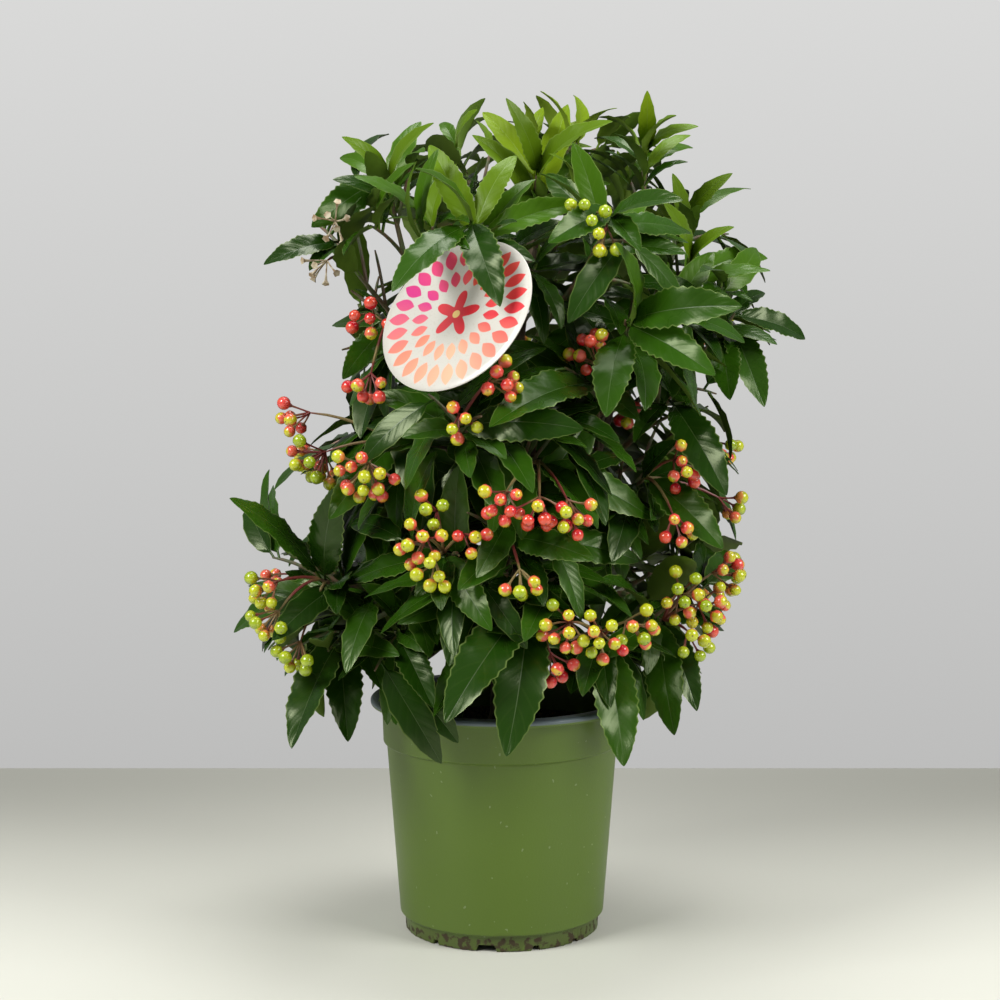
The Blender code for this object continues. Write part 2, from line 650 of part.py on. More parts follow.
def stem_controls(limb, along, end, lean):
    """The path of a mass's stem from its limb's axis to its end, rising as it nears it."""
    root = limb.at(along)
    reach = (end - root).length
    tangent = limb.way(along)
    outward = (end - root).normalized()
    start_way = tangent if along >= 1 else (outward + tangent * LIMB_PULL).normalized()
    rising = (outward + UP * lean).normalized()
    return (root, root + start_way * FIRST_REACH * reach, end - rising * LAST_REACH * reach, end)


def rule_direction(axis, turn, opening):
    """A unit direction at an opening angle from an axis, turned round it."""
    across = side_of(axis)
    over = axis.cross(across)
    return (axis * math.cos(opening) + (across * math.cos(turn) + over * math.sin(turn)) * math.sin(opening))


class Growth:
    """One mass of foliage while it grows: its stem, twigs, leaves and berries."""

    def __init__(self, mass, limb):
        self.mass = mass
        self.chance = random.Random(SEED * 1000 + sum(map(ord, mass.name)))
        self.end = mm(mass.end)
        self.length = LEAF_LENGTH + (YOUNG_LEAF_LENGTH - LEAF_LENGTH) * mass.young
        controls = stem_controls(limb, mass.along, self.end, STEM_RISE + YOUNG_RISE * mass.young)
        self.stem = clear_stem(controls, STEM_RADII, TWIG_SIDES, STEM_STEPS, tree_of(limb.shape()))
        self.twigs = []
        self.stalks = []
        self.leaves = []
        self.berries = []

    def is_clear(self, space, whole, outer):
        """Whether a shape of this mass may stand where it is."""
        return space.is_clear(self.mass.name, whole, outer)

    def leaf_to(self, root, tip, share, sections, facing):
        """A leaf from a point on a twig's axis to a tip, with its seeded arch and roll."""
        fresh = self.mass.young if tip.z > root.z else 0
        arch = self.chance.uniform(*LEAF_ARCH) + YOUNG_ARCHING * fresh
        roll = self.chance.uniform(-LEAF_ROLL, LEAF_ROLL)
        return Leaf(root, tip, arch, roll, share * (1 + YOUNG_WIDENING * fresh), sections, facing)

    def try_leaf(self, space, leaf, shifts):
        """Keeps a leaf at the first of some shifts of its tip where it is clear."""
        for shift in shifts:
            moved = leaf.moved(shift)
            if self.is_clear(space, moved.shape(TEST_MARGIN), moved.shape(TEST_MARGIN, TEST_START)):
                self.leaves.append(moved)
                space.add(self.mass.name, moved.shape())
                return True
        return False

    def grow_seen(self, space):
        """The leading leaves, each to its own tip, or a little nearer or farther in depth."""
        for index, offset in enumerate(self.mass.seen):
            root = self.stem.at(1 - (index + LEADING_PLACE) * LEAF_SPACING / self.stem.length)
            sections = LEADING_SECTIONS if mm(offset).length > FINE_LEAF_LENGTH else PLAIN_SECTIONS
            leaf = self.leaf_to(root, self.end + mm(offset), 1.0, sections, FRONT * SEEN_LEAN)
            self.try_leaf(space, leaf, [mm((0, depth, rise)) for depth, rise in LEADING_SHIFTS])

    def grow_umbels(self, space):
        """The bunches: a stalk from the stem to the hub, then its berries."""
        for *middle, count in self.mass.umbels:
            umbel = self.umbel_to(space, mm(middle), count)
            if umbel:
                for centre in umbel.berries[:max(FEWEST_BERRIES, round(count * MADE_SHARE))]:
                    self.try_berry(space, umbel, centre)

    def umbel_to(self, space, middle, count):
        """The first bunch whose stalk is clear, from the nearest places on the stem and with more and more bow."""
        turn = self.chance.uniform(0, math.tau)
        roots = sorted((self.stem.at(place) for place in STALK_PLACES), key=lambda point: (point - middle).length)
        for bow in STALK_BOWS:
            for root in roots:
                umbel = Umbel(root, middle, count, turn, bow)
                stalk = umbel.stalk
                if self.is_clear(space, stalk.shape(TEST_MARGIN), stalk.shape(TEST_MARGIN, 1)):
                    space.add(self.mass.name, stalk.shape())
                    self.stalks.append(stalk)
                    return umbel
        return None

    def try_berry(self, space, umbel, centre):
        """Keeps a berry and its pedicel where they are clear."""
        pedicel = Stem((umbel.hub, centre), (PEDICEL_RADIUS, PEDICEL_RADIUS), TWIG_SIDES, 1)
        tested = joined(pedicel.shape(TEST_MARGIN), ball_shape(centre, BERRY_RADIUS + TEST_MARGIN))
        ball = ball_shape(centre, BERRY_RADIUS)
        if self.is_clear(space, tested, ball):
            self.berries.append((pedicel.shape(), ball))
            space.add(self.mass.name, joined(pedicel.shape(), ball))

    def grow_twigs(self, space):
        """One side twig by the seeded rule, kept where it is clear."""
        tangent = self.stem.way(TWIG_START)
        root = self.stem.at(TWIG_START)
        outward = Vector((root.x, root.y, 0)).normalized()
        first_turn = self.chance.uniform(0, math.tau)
        for attempt in range(TWIG_ATTEMPTS):
            turn = first_turn + attempt * GOLDEN_ANGLE
            heading = rule_direction(tangent, turn, TWIG_OPENING) + outward * TWIG_OUTWARD + UP * TWIG_UPWARD
            tip = root + heading.normalized() * TWIG_LENGTH
            bend = root.lerp(tip, 0.5) + UP * TWIG_BOW * TWIG_LENGTH
            twig = Stem((root, bend, tip), TWIG_RADII, TWIG_SIDES, 2)
            if inside_crown(tip) and self.is_clear(space, twig.shape(TEST_MARGIN), twig.shape(TEST_MARGIN, 1)):
                self.twigs.append(twig)
                space.add(self.mass.name, twig.shape())
                return

    def grow_leaves(self, space):
        """The other leaves, by golden angle round each tip, old ones open and young ones steep."""
        led = len(self.mass.seen)
        self.whorl(space, self.stem, max(TIP_LEAVES - led // 2, FEWEST_LEAVES), self.length, led)
        for twig in self.twigs:
            self.whorl(space, twig, TWIG_LEAVES, TWIG_LEAF_SHARE * self.length, 0)

    def whorl(self, space, stem, count, length, first):
        """Leaves round the end of a stem or twig, after the first few places."""
        axis = stem.way(1)
        phase = self.chance.uniform(0, math.tau)
        young = self.mass.young
        for index in range(count):
            share = (index + 0.5) / count
            place = 1 - (first + count - 1 - index + RULE_PLACE) * LEAF_SPACING / stem.length
            root = stem.at(max(place, LOWEST_PLACE))
            facing = Vector((root.x, root.y, 0)).normalized() * LEAF_LEAN
            opening = OPENING_WIDE - OPENING_FALL * share - OPENING_YOUNG * young
            droop = DROOP * (1 - DROOP_YOUNG * young) * (1 - DROOP_FALL * share)
            for attempt in range(LEAF_ATTEMPTS):
                turn = phase + GOLDEN_ANGLE * (index + ATTEMPT_TURN * attempt)
                heading = (rule_direction(axis, turn, opening) - UP * droop).normalized()
                tip = root + heading * length * (LENGTH_LOW - LENGTH_FALL * share)
                leaf = self.leaf_to(root, tip, self.chance.uniform(*WIDTH_RANGE), PLAIN_SECTIONS, facing)
                if not inside_crown(tip) or leaf.blocks_view():
                    continue
                if self.try_leaf(space, leaf, [mm((0, 0, rise)) for rise in RULE_RISES]):
                    break

    def fuse(self):
        """The whole mass as one closed solid."""
        shapes = [stem.shape() for stem in [self.stem] + self.twigs + self.stalks]
        shapes += [leaf.shape() for leaf in self.leaves]
        for pedicel, ball in self.berries:
            shapes += [pedicel, ball]
        paint = "fresh_leaf" if self.mass.young > FRESH_FROM else "leaf"
        return fuse_shapes(self.mass.name, shapes, paint)


def union_mesh(name, shapes, solver):
    """The union of overlapping closed shapes, as a mesh, by one Boolean on a collection."""
    base = make_object(name, shapes[0])
    group = bpy.data.collections.new(name + "_pieces")
    for index, shape in enumerate(shapes[1:]):
        piece = make_object("%s_piece_%d" % (name, index), shape)
        bpy.context.collection.objects.unlink(piece)
        group.objects.link(piece)
    union = base.modifiers.new("union", "BOOLEAN")
    union.operation = "UNION"
    union.operand_type = "COLLECTION"
    union.collection = group
    union.solver = solver
    evaluated = base.evaluated_get(bpy.context.evaluated_depsgraph_get())
    mesh = bpy.data.meshes.new_from_object(evaluated)
    for piece in list(group.objects) + [base]:
        bpy.data.objects.remove(piece, do_unlink=True)
    bpy.data.collections.remove(group)
    return mesh


def fuse_shapes(name, shapes, paint):
    """One closed solid from overlapping shapes. If a union fails twice, the last leaf or berry goes."""
    while True:
        for solver in ("EXACT", "MANIFOLD"):
            mesh = union_mesh(name, shapes, solver)
            if keep_main_body(mesh):
                mesh.name = name
                mesh.materials.clear()
                mesh.materials.append(make_material(name + "_finish", paint))
                solid = bpy.data.objects.new(name, mesh)
                bpy.context.collection.objects.link(solid)
                return solid
        shapes = shapes[:-1]


def bodies_of(work):
    """The faces of each connected body, the largest body first."""
    seen, bodies = set(), []
    for face in work.faces:
        if face in seen:
            continue
        body, waiting = [], [face]
        seen.add(face)
        while waiting:
            here = waiting.pop()
            body.append(here)
            for edge in here.edges:
                for other in edge.link_faces:
                    if other not in seen:
                        seen.add(other)
                        waiting.append(other)
        bodies.append(body)
    return sorted(bodies, key=len, reverse=True)


def keep_main_body(mesh):
    """Drops loose scraps and fills sealed hollows, and tells whether what stays is one closed body."""
    work = bmesh.new()
    work.from_mesh(mesh)
    bmesh.ops.triangulate(work, faces=work.faces)
    bmesh.ops.remove_doubles(work, verts=work.verts, dist=MERGE_DISTANCE)
    bmesh.ops.dissolve_degenerate(work, edges=work.edges, dist=MERGE_DISTANCE)
    for body in bodies_of(work)[1:]:
        bmesh.ops.delete(work, geom=body, context="FACES")
    loose = [vertex for vertex in work.verts if not vertex.link_faces]
    bmesh.ops.delete(work, geom=loose, context="VERTS")
    bmesh.ops.triangulate(work, faces=work.faces)
    closed = all(len(edge.link_faces) == 2 for edge in work.edges)
    work.to_mesh(mesh)
    work.free()
    return closed


# Pot, soil and tag


def turned_shape(profile, segments):
    """A closed solid turned round Z from radii and heights that start and end on the axis."""
    points = [Vector((0, 0, profile[0][1]))]
    inner = profile[1:-1]
    for radius, height in inner:
        for segment in range(segments):
            angle = math.tau * segment / segments
            points.append(Vector((radius * math.cos(angle), radius * math.sin(angle), height)))
    points.append(Vector((0, 0, profile[-1][1])))
    last = len(points) - 1
    faces = []
    for segment in range(segments):
        beside = (segment + 1) % segments
        faces.append((0, 1 + beside, 1 + segment))
        for level in range(len(inner) - 1):
            low, high = 1 + level * segments, 1 + (level + 1) * segments
            faces.append((low + segment, low + beside, high + beside, high + segment))
        top = 1 + (len(inner) - 1) * segments
        faces.append((top + segment, top + beside, last))
    return points, faces


def wall_radius(height):
    """The radius of the pot's tapering body at a height."""
    band_foot = POT_HEIGHT - LIP_THICKNESS - BAND_HEIGHT
    share = (height - FOOT_HEIGHT) / (band_foot - FOOT_HEIGHT)
    return BODY_FOOT_RADIUS + (BODY_TOP_RADIUS - BODY_FOOT_RADIUS) * share


def make_pot():
    """The nursery pot: foot ring with drain notches, tapering wall, collar band and lip."""
    band_foot = POT_HEIGHT - LIP_THICKNESS - BAND_HEIGHT
    floor_top = BASE_RECESS + BASE_THICKNESS
    outer = [(0, 0), (PAD_RADIUS, 0), (PAD_RADIUS + PAD_SLOPE, BASE_RECESS),
             (FOOT_RADIUS - FOOT_WALL, BASE_RECESS), (FOOT_RADIUS - FOOT_WALL, 0), (FOOT_RADIUS, 0),
             (FOOT_RADIUS + FOOT_FLARE, FOOT_HEIGHT), (BODY_FOOT_RADIUS, FOOT_HEIGHT + FOOT_LEDGE),
             (wall_radius(band_foot), band_foot), (BAND_RADIUS, band_foot + BAND_LEDGE),
             (BAND_RADIUS + BAND_FLARE, POT_HEIGHT - LIP_THICKNESS), (LIP_RADIUS, POT_HEIGHT - LIP_THICKNESS),
             (LIP_RADIUS, POT_HEIGHT - LIP_BEVEL), (LIP_RADIUS - LIP_BEVEL, POT_HEIGHT)]
    inner = [(BAND_RADIUS - WALL + BAND_FLARE, POT_HEIGHT), (BAND_RADIUS - WALL, band_foot + BAND_LEDGE),
             (wall_radius(band_foot) - WALL, band_foot), (wall_radius(floor_top) - WALL, floor_top), (0, floor_top)]
    pot = make_object("pot", turned_shape(outer + inner, POT_SEGMENTS), "pot")
    for index, (degrees, width, height) in enumerate(NOTCHES):
        cutter = notch_cutter("notch_cutter_%d" % index, math.radians(degrees), width, height)
        cut = pot.modifiers.new("notch_%d" % index, "BOOLEAN")
        cut.operation = "DIFFERENCE"
        cut.object = cutter
    pot.data.shade_smooth()
    pot.data.set_sharp_from_angle(angle=POT_CREASE)


def notch_cutter(name, angle, width, height):
    """A box across the foot ring from below, hidden and drawn as wire."""
    work = bmesh.new()
    bmesh.ops.create_cube(work, size=1)
    placing = Matrix.Rotation(angle, 4, "Z") @ Matrix.Translation((FOOT_RADIUS - FOOT_WALL / 2, 0, 0))
    sizes = Matrix.Diagonal((FOOT_WALL * CUTTER_OVERREACH, width, 2 * height, 1))
    bmesh.ops.transform(work, matrix=placing @ sizes, verts=work.verts)
    mesh = bpy.data.meshes.new(name)
    work.to_mesh(mesh)
    work.free()
    cutter = bpy.data.objects.new(name, mesh)
    bpy.context.collection.objects.link(cutter)
    cutter.hide_render = True
    cutter.display_type = "WIRE"
    return cutter


def make_soil():
    """The compost that fills the pot, flat at the trunk and uneven towards the wall."""
    floor_top = BASE_RECESS + BASE_THICKNESS + CLEARANCE
    band_foot = POT_HEIGHT - LIP_THICKNESS - BAND_HEIGHT
    gap = WALL + CLEARANCE
    surface = [(BAND_RADIUS - gap, SOIL_TOP - SOIL_EDGE_DROP)]
    surface += [(radius, SOIL_TOP - depth) for radius, depth in SOIL_RINGS]
    profile = [(0, floor_top), (wall_radius(floor_top) - gap, floor_top), (wall_radius(band_foot) - gap, band_foot),
               *surface, (SOIL_FLAT_RADIUS, SOIL_TOP), (0, SOIL_TOP)]
    points, faces = turned_shape(profile, SOIL_SEGMENTS)
    chance = random.Random(SEED)
    rough_start = 1 + 2 * SOIL_SEGMENTS
    for point in points[rough_start:rough_start + len(surface) * SOIL_SEGMENTS]:
        point.z += chance.uniform(*SOIL_RANGE) * SOIL_ROUGHNESS
    make_object("soil", (points, faces), "soil")


def make_tag(twig, space):
    """The round card, its neck and the loop that goes round a twig."""
    facing = TAG_FACES.normalized()
    loop_centre = twig.at(TAG_LOOP_ALONG)
    twig_way = twig.way(TAG_LOOP_ALONG)
    inner = twig.radii[0] + CLEARANCE
    outer = inner + TAG_LOOP_WALL
    loop = loop_shape(loop_centre, twig_way, inner, outer, TAG_LOOP_WIDTH)
    half = facing * TAG_THICKNESS / 2
    across = side_of(facing)
    over = facing.cross(across)
    rim = []
    for segment in range(TAG_SEGMENTS):
        angle = math.tau * segment / TAG_SEGMENTS
        rim.append(TAG_CENTRE + (across * math.cos(angle) + over * math.sin(angle)) * TAG_RADIUS)
    card = prism_shape(rim, half)
    to_card = loop_centre - TAG_CENTRE
    in_plane = (to_card - facing * to_card.dot(facing)).normalized()
    root = TAG_CENTRE + in_plane * (TAG_RADIUS - TAG_NECK_OVERLAP)
    wall_way = root - loop_centre
    wall_way = (wall_way - twig_way * wall_way.dot(twig_way)).normalized()
    tip = loop_centre + wall_way * (inner + TAG_LOOP_WALL / 2)
    neck = strip_shape(root, tip, facing, TAG_NECK_WIDTH, TAG_NECK_TIP_WIDTH, TAG_NECK_THICKNESS)
    tag = fuse_shapes("tag", [card, neck, loop], "tag")
    points = [vertex.co.copy() for vertex in tag.data.vertices]
    faces = [tuple(polygon.vertices) for polygon in tag.data.polygons]
    space.add("tag", (points, faces))


def prism_shape(rim, half):
    """A flat plate between a rim moved one way and the other."""
    count = len(rim)
    points = [point - half for point in rim] + [point + half for point in rim]
    faces = [tuple(reversed(range(count))), tuple(range(count, 2 * count))]
    for index in range(count):
        beside = (index + 1) % count
        faces.append((index, beside, count + beside, count + index))
    return points, faces


def strip_shape(root, tip, facing, root_width, tip_width, thickness):
    """A flat neck that narrows from its root to its tip."""
    along = (tip - root).normalized()
    across = facing.cross(along).normalized()
    over = along.cross(across)
    points = []
    for centre, width in ((root, root_width), (tip, tip_width)):
        for side, rise in ((-1, -1), (1, -1), (1, 1), (-1, 1)):
            points.append(centre + across * side * width / 2 + over * rise * thickness / 2)
    faces = [(3, 2, 1, 0), (4, 5, 6, 7), (0, 1, 5, 4), (1, 2, 6, 5), (2, 3, 7, 6), (3, 0, 4, 7)]
    return points, faces


def loop_shape(centre, way, inner, outer, width):
    """A short collar round a twig."""
    sides = TAG_LOOP_SIDES
    across = side_of(way)
    over = way.cross(across)
    points = []
    for shift, radius in ((-1, inner), (-1, outer), (1, outer), (1, inner)):
        for corner in range(sides):
            angle = math.tau * corner / sides
            reach = radius / math.cos(math.pi / sides)
            points.append(centre + way * shift * width / 2
                          + (across * math.cos(angle) + over * math.sin(angle)) * reach)
    faces = []
    for ring in range(4):
        here, after = ring * sides, (ring + 1) % 4 * sides
        for corner in range(sides):
            beside = (corner + 1) % sides
            faces.append((here + corner, here + beside, after + beside, after + corner))
    return points, faces


# The whole plant


def grow_limbs(space):
    """The trunk and boughs, each clear of its parent."""
    radii = [radius * MM for radius in TRUNK_RADII]
    limbs = {"trunk": Stem([mm(point) for point in TRUNK_POINTS], radii, TRUNK_SIDES, TRUNK_STEPS, 0.0,
                          FLARE_WIDENING)}
    for limb in LIMBS:
        parent = limbs[limb.parent]
        controls = [parent.at(limb.along)] + [mm(point) for point in limb.points]
        if limb.along >= 1:
            controls[1] = controls[0] + parent.way(1) * (controls[2] - controls[0]).length / 3
        radii = [radius * MM for radius in limb.radii]
        limbs[limb.name] = clear_stem(controls, radii, BOUGH_SIDES, BOUGH_STEPS, tree_of(parent.shape()))
    for name, stem in limbs.items():
        space.add(name, stem.shape())
        limb = make_object(name, stem.shape(), "bark")
        limb.data.shade_smooth()
        limb.data.set_sharp_from_angle(angle=BARK_CREASE)
    return limbs


def pot_rim_shape():
    """The pot's upper wall, solid down to the soil, for the test of what hangs over it."""
    inner = BAND_RADIUS - WALL - RIM_MARGIN
    outer = LIP_RADIUS + RIM_MARGIN
    top = POT_HEIGHT + RIM_MARGIN / 2
    low = POT_HEIGHT - LIP_THICKNESS - BAND_HEIGHT
    floor = SOIL_TOP + 2 * RIM_MARGIN
    return turned_shape([(0, low), (outer, low), (outer, top), (inner, top), (inner - RIM_MARGIN, floor), (0, floor)],
                        POT_SEGMENTS)


def main():
    """Builds the pot, the soil, the limbs, the tag and every mass."""
    clear_scene()
    space = Space()
    make_pot()
    make_soil()
    limbs = grow_limbs(space)
    space.add("pot", pot_rim_shape())
    growths = [Growth(mass, limbs[mass.limb]) for mass in MASSES]
    for growth in growths:
        space.add(growth.mass.name, growth.stem.shape())
    holder = next(growth for growth in growths if growth.mass.name == TAG_MASS)
    make_tag(holder.stem, space)
    for grow in (Growth.grow_seen, Growth.grow_umbels, Growth.grow_twigs, Growth.grow_leaves):
        for growth in growths:
            grow(growth, space)
    for growth in growths:
        growth.fuse()


main()
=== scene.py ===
# %% [markdown]
# # A small ardisia in its nursery pot
#
# The plant's solids come packed from its CAD model and stay as they are. This lesson
# dresses them: it grows the same boughs, twigs, leaves and berries by the same seeded
# rule, carries them on to finer ones, and gives every surface its own finish.
# Lengths are metres, +Z is up, and the plant's front faces -Y.

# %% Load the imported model
import json
import math
import random
from collections import namedtuple

import bmesh
import bpy
import numpy as np
from mathutils import Matrix, Vector
from mathutils.bvhtree import BVHTree

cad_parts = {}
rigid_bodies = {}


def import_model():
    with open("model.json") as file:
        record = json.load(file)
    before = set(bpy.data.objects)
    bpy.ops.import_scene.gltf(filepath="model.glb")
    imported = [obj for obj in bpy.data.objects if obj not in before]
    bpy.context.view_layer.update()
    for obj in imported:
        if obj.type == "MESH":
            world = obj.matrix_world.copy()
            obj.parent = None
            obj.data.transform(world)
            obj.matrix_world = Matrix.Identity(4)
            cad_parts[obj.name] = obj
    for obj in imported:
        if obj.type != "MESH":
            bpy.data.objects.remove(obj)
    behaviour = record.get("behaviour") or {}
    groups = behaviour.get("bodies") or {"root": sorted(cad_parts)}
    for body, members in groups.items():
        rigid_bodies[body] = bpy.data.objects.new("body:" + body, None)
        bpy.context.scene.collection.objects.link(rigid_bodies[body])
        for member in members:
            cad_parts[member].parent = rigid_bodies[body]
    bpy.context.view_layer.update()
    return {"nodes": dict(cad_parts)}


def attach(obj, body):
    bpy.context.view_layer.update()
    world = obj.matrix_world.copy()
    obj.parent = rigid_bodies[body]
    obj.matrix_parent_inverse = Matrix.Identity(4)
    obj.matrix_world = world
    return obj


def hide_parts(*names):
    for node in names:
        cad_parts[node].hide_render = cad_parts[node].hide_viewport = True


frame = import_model()

# %% [markdown]
# ## Shapes from whole arrays
#
# Hundreds of leaves are too many to model by hand, and too many to loop over corner by
# corner. Each kind of shape is one formula that numpy works out for all its copies at
# once, as a grid of points with rows along the shape and columns across or round it.

# %% Grids, and meshes made from them
def grid_faces(rows, columns, closed=False):
    """The quads of a grid, row after row. A closed grid also joins its last column to its first."""
    row = np.arange(rows - 1)[:, None] * columns
    here = np.arange(columns if closed else columns - 1)[None, :]
    beside = (here + 1) % columns
    return np.stack([row + here, row + beside, row + beside + columns, row + here + columns], axis=-1).reshape(-1, 4)


def repeated(faces, copies, size):
    """One shape's faces for copies that follow each other, each with as many points."""
    return (faces[None] + size * np.arange(copies)[:, None, None]).reshape(-1, faces.shape[1])


def tube_faces(rows, sides):
    """A closed tube's faces: the quads round it, and a cap at each end."""
    ring = np.arange(sides)
    return [grid_faces(rows, sides, True), ring[::-1][None], ring[None] + (rows - 1) * sides]


def unit(vectors):
    """Vectors scaled to length 1."""
    return vectors / np.linalg.norm(vectors, axis=-1, keepdims=True)


def make_piece(name, points, face_sets, finishes, kinds=None, blade=None, crease=50):
    """A smooth mesh object from points (n, 3) and sets of faces that have as many corners each."""
    mesh = bpy.data.meshes.new(name)
    corners = np.concatenate([faces.ravel() for faces in face_sets])
    sizes = np.concatenate([np.full(len(faces), faces.shape[1]) for faces in face_sets])
    mesh.vertices.add(len(points))
    mesh.vertices.foreach_set("co", np.ascontiguousarray(points, dtype=np.float32).ravel())
    mesh.loops.add(len(corners))
    mesh.loops.foreach_set("vertex_index", corners.astype(np.int32))
    mesh.polygons.add(len(sizes))
    mesh.polygons.foreach_set("loop_start", (np.cumsum(sizes) - sizes).astype(np.int32))
    for finish in finishes:
        mesh.materials.append(finish)
    if kinds is not None:
        mesh.polygons.foreach_set("material_index", kinds.astype(np.int32))
    mesh.update(calc_edges=True)
    if blade is not None:
        layer = mesh.uv_layers.new(name="along")
        layer.data.foreach_set("uv", blade[corners].astype(np.float32).ravel())
    mesh.shade_smooth()
    mesh.set_sharp_from_angle(angle=math.radians(crease))
    mesh.validate()
    piece = bpy.data.objects.new(name, mesh)
    bpy.context.collection.objects.link(piece)
    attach(piece, "root")
    print("%-22s %6d faces" % (name, len(sizes)))
    return piece


def tube_points(paths, radii, sides):
    """Rings round paths (n, rows, 3): centre + radius (cos a * across + sin a * over), square to the path."""
    ways = unit(np.gradient(paths, axis=1))
    mean = unit(paths[:, -1] - paths[:, 0])
    other = np.where(np.abs(mean[:, 2:]) < 0.9, [[0.0, 0.0, 1.0]], [[1.0, 0.0, 0.0]])
    across = np.cross(mean, other)[:, None]
    across = unit(across - ways * (across * ways).sum(axis=-1, keepdims=True))[:, :, None]
    over = np.cross(ways[:, :, None], across)
    angles = (math.tau * np.arange(sides) / sides)[None, None, :, None]
    return paths[:, :, None] + radii[:, :, None, None] * (np.cos(angles) * across + np.sin(angles) * over)


def bezier_points(controls, shares):
    """Points of many Bezier curves, (n, degree + 1, 3), at shares (n or 1, rows), by De Casteljau's rule."""
    points = np.repeat(controls[:, :, None, :], shares.shape[1], axis=2)
    share = shares[:, None, :, None]
    while points.shape[1] > 1:
        points = points[:, :-1] * (1 - share) + points[:, 1:] * share
    return points[:, 0]


# %% [markdown]
# ## Shader maths written as sums
#
# A finish is a graph of nodes. Drawn by hand such a graph is hard to read, so here a
# small class wraps a socket, and +, -, * and the rest add their Math nodes. A line such
# as 1 - mask * 0.5 then reads as what it does.

# %% Sockets that behave like numbers, and a finish that makes nodes
class Value:
    """A socket's value. Each operator adds a Math node and gives its result."""

    def __init__(self, finish, socket):
        self.finish = finish
        self.socket = socket

    def __add__(self, other):
        return self.finish.maths("ADD", self, other)

    def __sub__(self, other):
        return self.finish.maths("SUBTRACT", self, other)

    def __rsub__(self, other):
        return self.finish.maths("SUBTRACT", other, self)

    def __mul__(self, other):
        return self.finish.maths("MULTIPLY", self, other)

    def __truediv__(self, other):
        return self.finish.maths("DIVIDE", self, other)

    def __pow__(self, other):
        return self.finish.maths("POWER", self, other)

    __radd__ = __add__
    __rmul__ = __mul__

    def absolute(self):
        """The value without its sign."""
        return self.finish.maths("ABSOLUTE", self)

    def sine(self):
        """The sine of the value in radians."""
        return self.finish.maths("SINE", self)

    def step(self, low, high):
        """0 below low, 1 above high, and a smooth rise between."""
        return self.finish.node("ShaderNodeMapRange", {"interpolation_type": "SMOOTHSTEP"},
                                {"Value": self, "From Min": low, "From Max": high})


class Finish:
    """One material: a Principled shader and the nodes that feed it."""

    def __init__(self, name, colour, roughness, **sockets):
        self.material = bpy.data.materials.new(name)
        self.material.use_nodes = True
        self.material.diffuse_color = (*colour, 1)
        self.tree = self.material.node_tree
        self.shader = self.tree.nodes["Principled BSDF"]
        self.feed("Base Color", colour)
        self.feed("Roughness", roughness)
        for socket, value in sockets.items():
            self.feed(socket.replace("_", " "), value)

    def put(self, socket, value):
        """Sets a socket to a number or colour, or links a value to it."""
        if isinstance(value, Value):
            self.tree.links.new(value.socket, socket)
        elif socket.type == "RGBA" and len(value) == 3:
            socket.default_value = (*value, 1)
        else:
            socket.default_value = value

    def feed(self, name, value):
        """Sets one of the shader's own sockets."""
        self.put(self.shader.inputs[name], value)

    def node(self, kind, settings=None, inputs=None, output=0):
        """A node of a kind: its settings first, then its inputs, then the output that is used."""
        node = self.tree.nodes.new(kind)
        for name, value in (settings or {}).items():
            if name == "stops":
                for place, colour in value[2:]:
                    node.color_ramp.elements.new(place)
                for element, (place, colour) in zip(node.color_ramp.elements, sorted(value)):
                    element.position = place
                    element.color = (*colour, 1)
            else:
                setattr(node, name, value)
        for name, value in (inputs or {}).items():
            self.put(node.inputs[name], value)
        return Value(self, node.outputs[output])

    def maths(self, operation, *values):
        """One Math node."""
        return self.node("ShaderNodeMath", {"operation": operation}, dict(enumerate(values)))

    def mix(self, share, first, second, blend="MIX"):
        """A colour between two colours."""
        return self.node("ShaderNodeMix", {"data_type": "RGBA", "blend_type": blend},
                         {0: share, 6: first, 7: second}, output=2)

    def place(self):
        """The point on the object, in metres."""
        return self.node("ShaderNodeTexCoord", output=3)

    def apart(self, vector):
        """The three numbers of a vector."""
        split = self.node("ShaderNodeSeparateXYZ", None, {0: vector})
        return [Value(self, socket) for socket in split.socket.node.outputs]

    def stretched(self, vector, scale):
        """A vector with each of its numbers multiplied."""
        return self.node("ShaderNodeVectorMath", {"operation": "MULTIPLY"}, {0: vector, 1: scale})

    def noise(self, scale, detail=2.0, vector=None, output=0):
        """Cloudy noise from 0 to 1, so many lumps to the metre."""
        return self.node("ShaderNodeTexNoise", None, {"Vector": vector or self.place(), "Scale": scale,
                                                      "Detail": detail}, output)

    def along(self):
        """Where on its own leaf, berry or stem a point lies: across or round it, and along it."""
        return self.apart(self.node("ShaderNodeUVMap", {"uv_map": "along"}))[:2]

    def bump(self, height, distance, strength=1.0, under=None):
        """Tips the surface by a height in units of a distance in metres."""
        inputs = {"Height": height, "Distance": distance, "Strength": strength}
        if under:
            inputs["Normal"] = under
        normal = self.node("ShaderNodeBump", None, inputs)
        self.feed("Normal", normal)
        return normal


# %% [markdown]
# ## The plant's sizes and its rule
#
# A real shrub repeats one habit: a stem leaves its bough, ends in a rosette of leaves
# and hangs its berries from stalks below them. The names below are that habit's driving
# sizes. Every leaf that shows from the front has its tip given, and the rest follow a
# seeded rule, so that the plant is the same each time the lesson runs.

# %% Driving sizes
SEED = 7
MM = 0.001
UP = Vector((0, 0, 1))
GOLDEN_ANGLE = math.radians(137.508)
CLEARANCE = 0.3 * MM

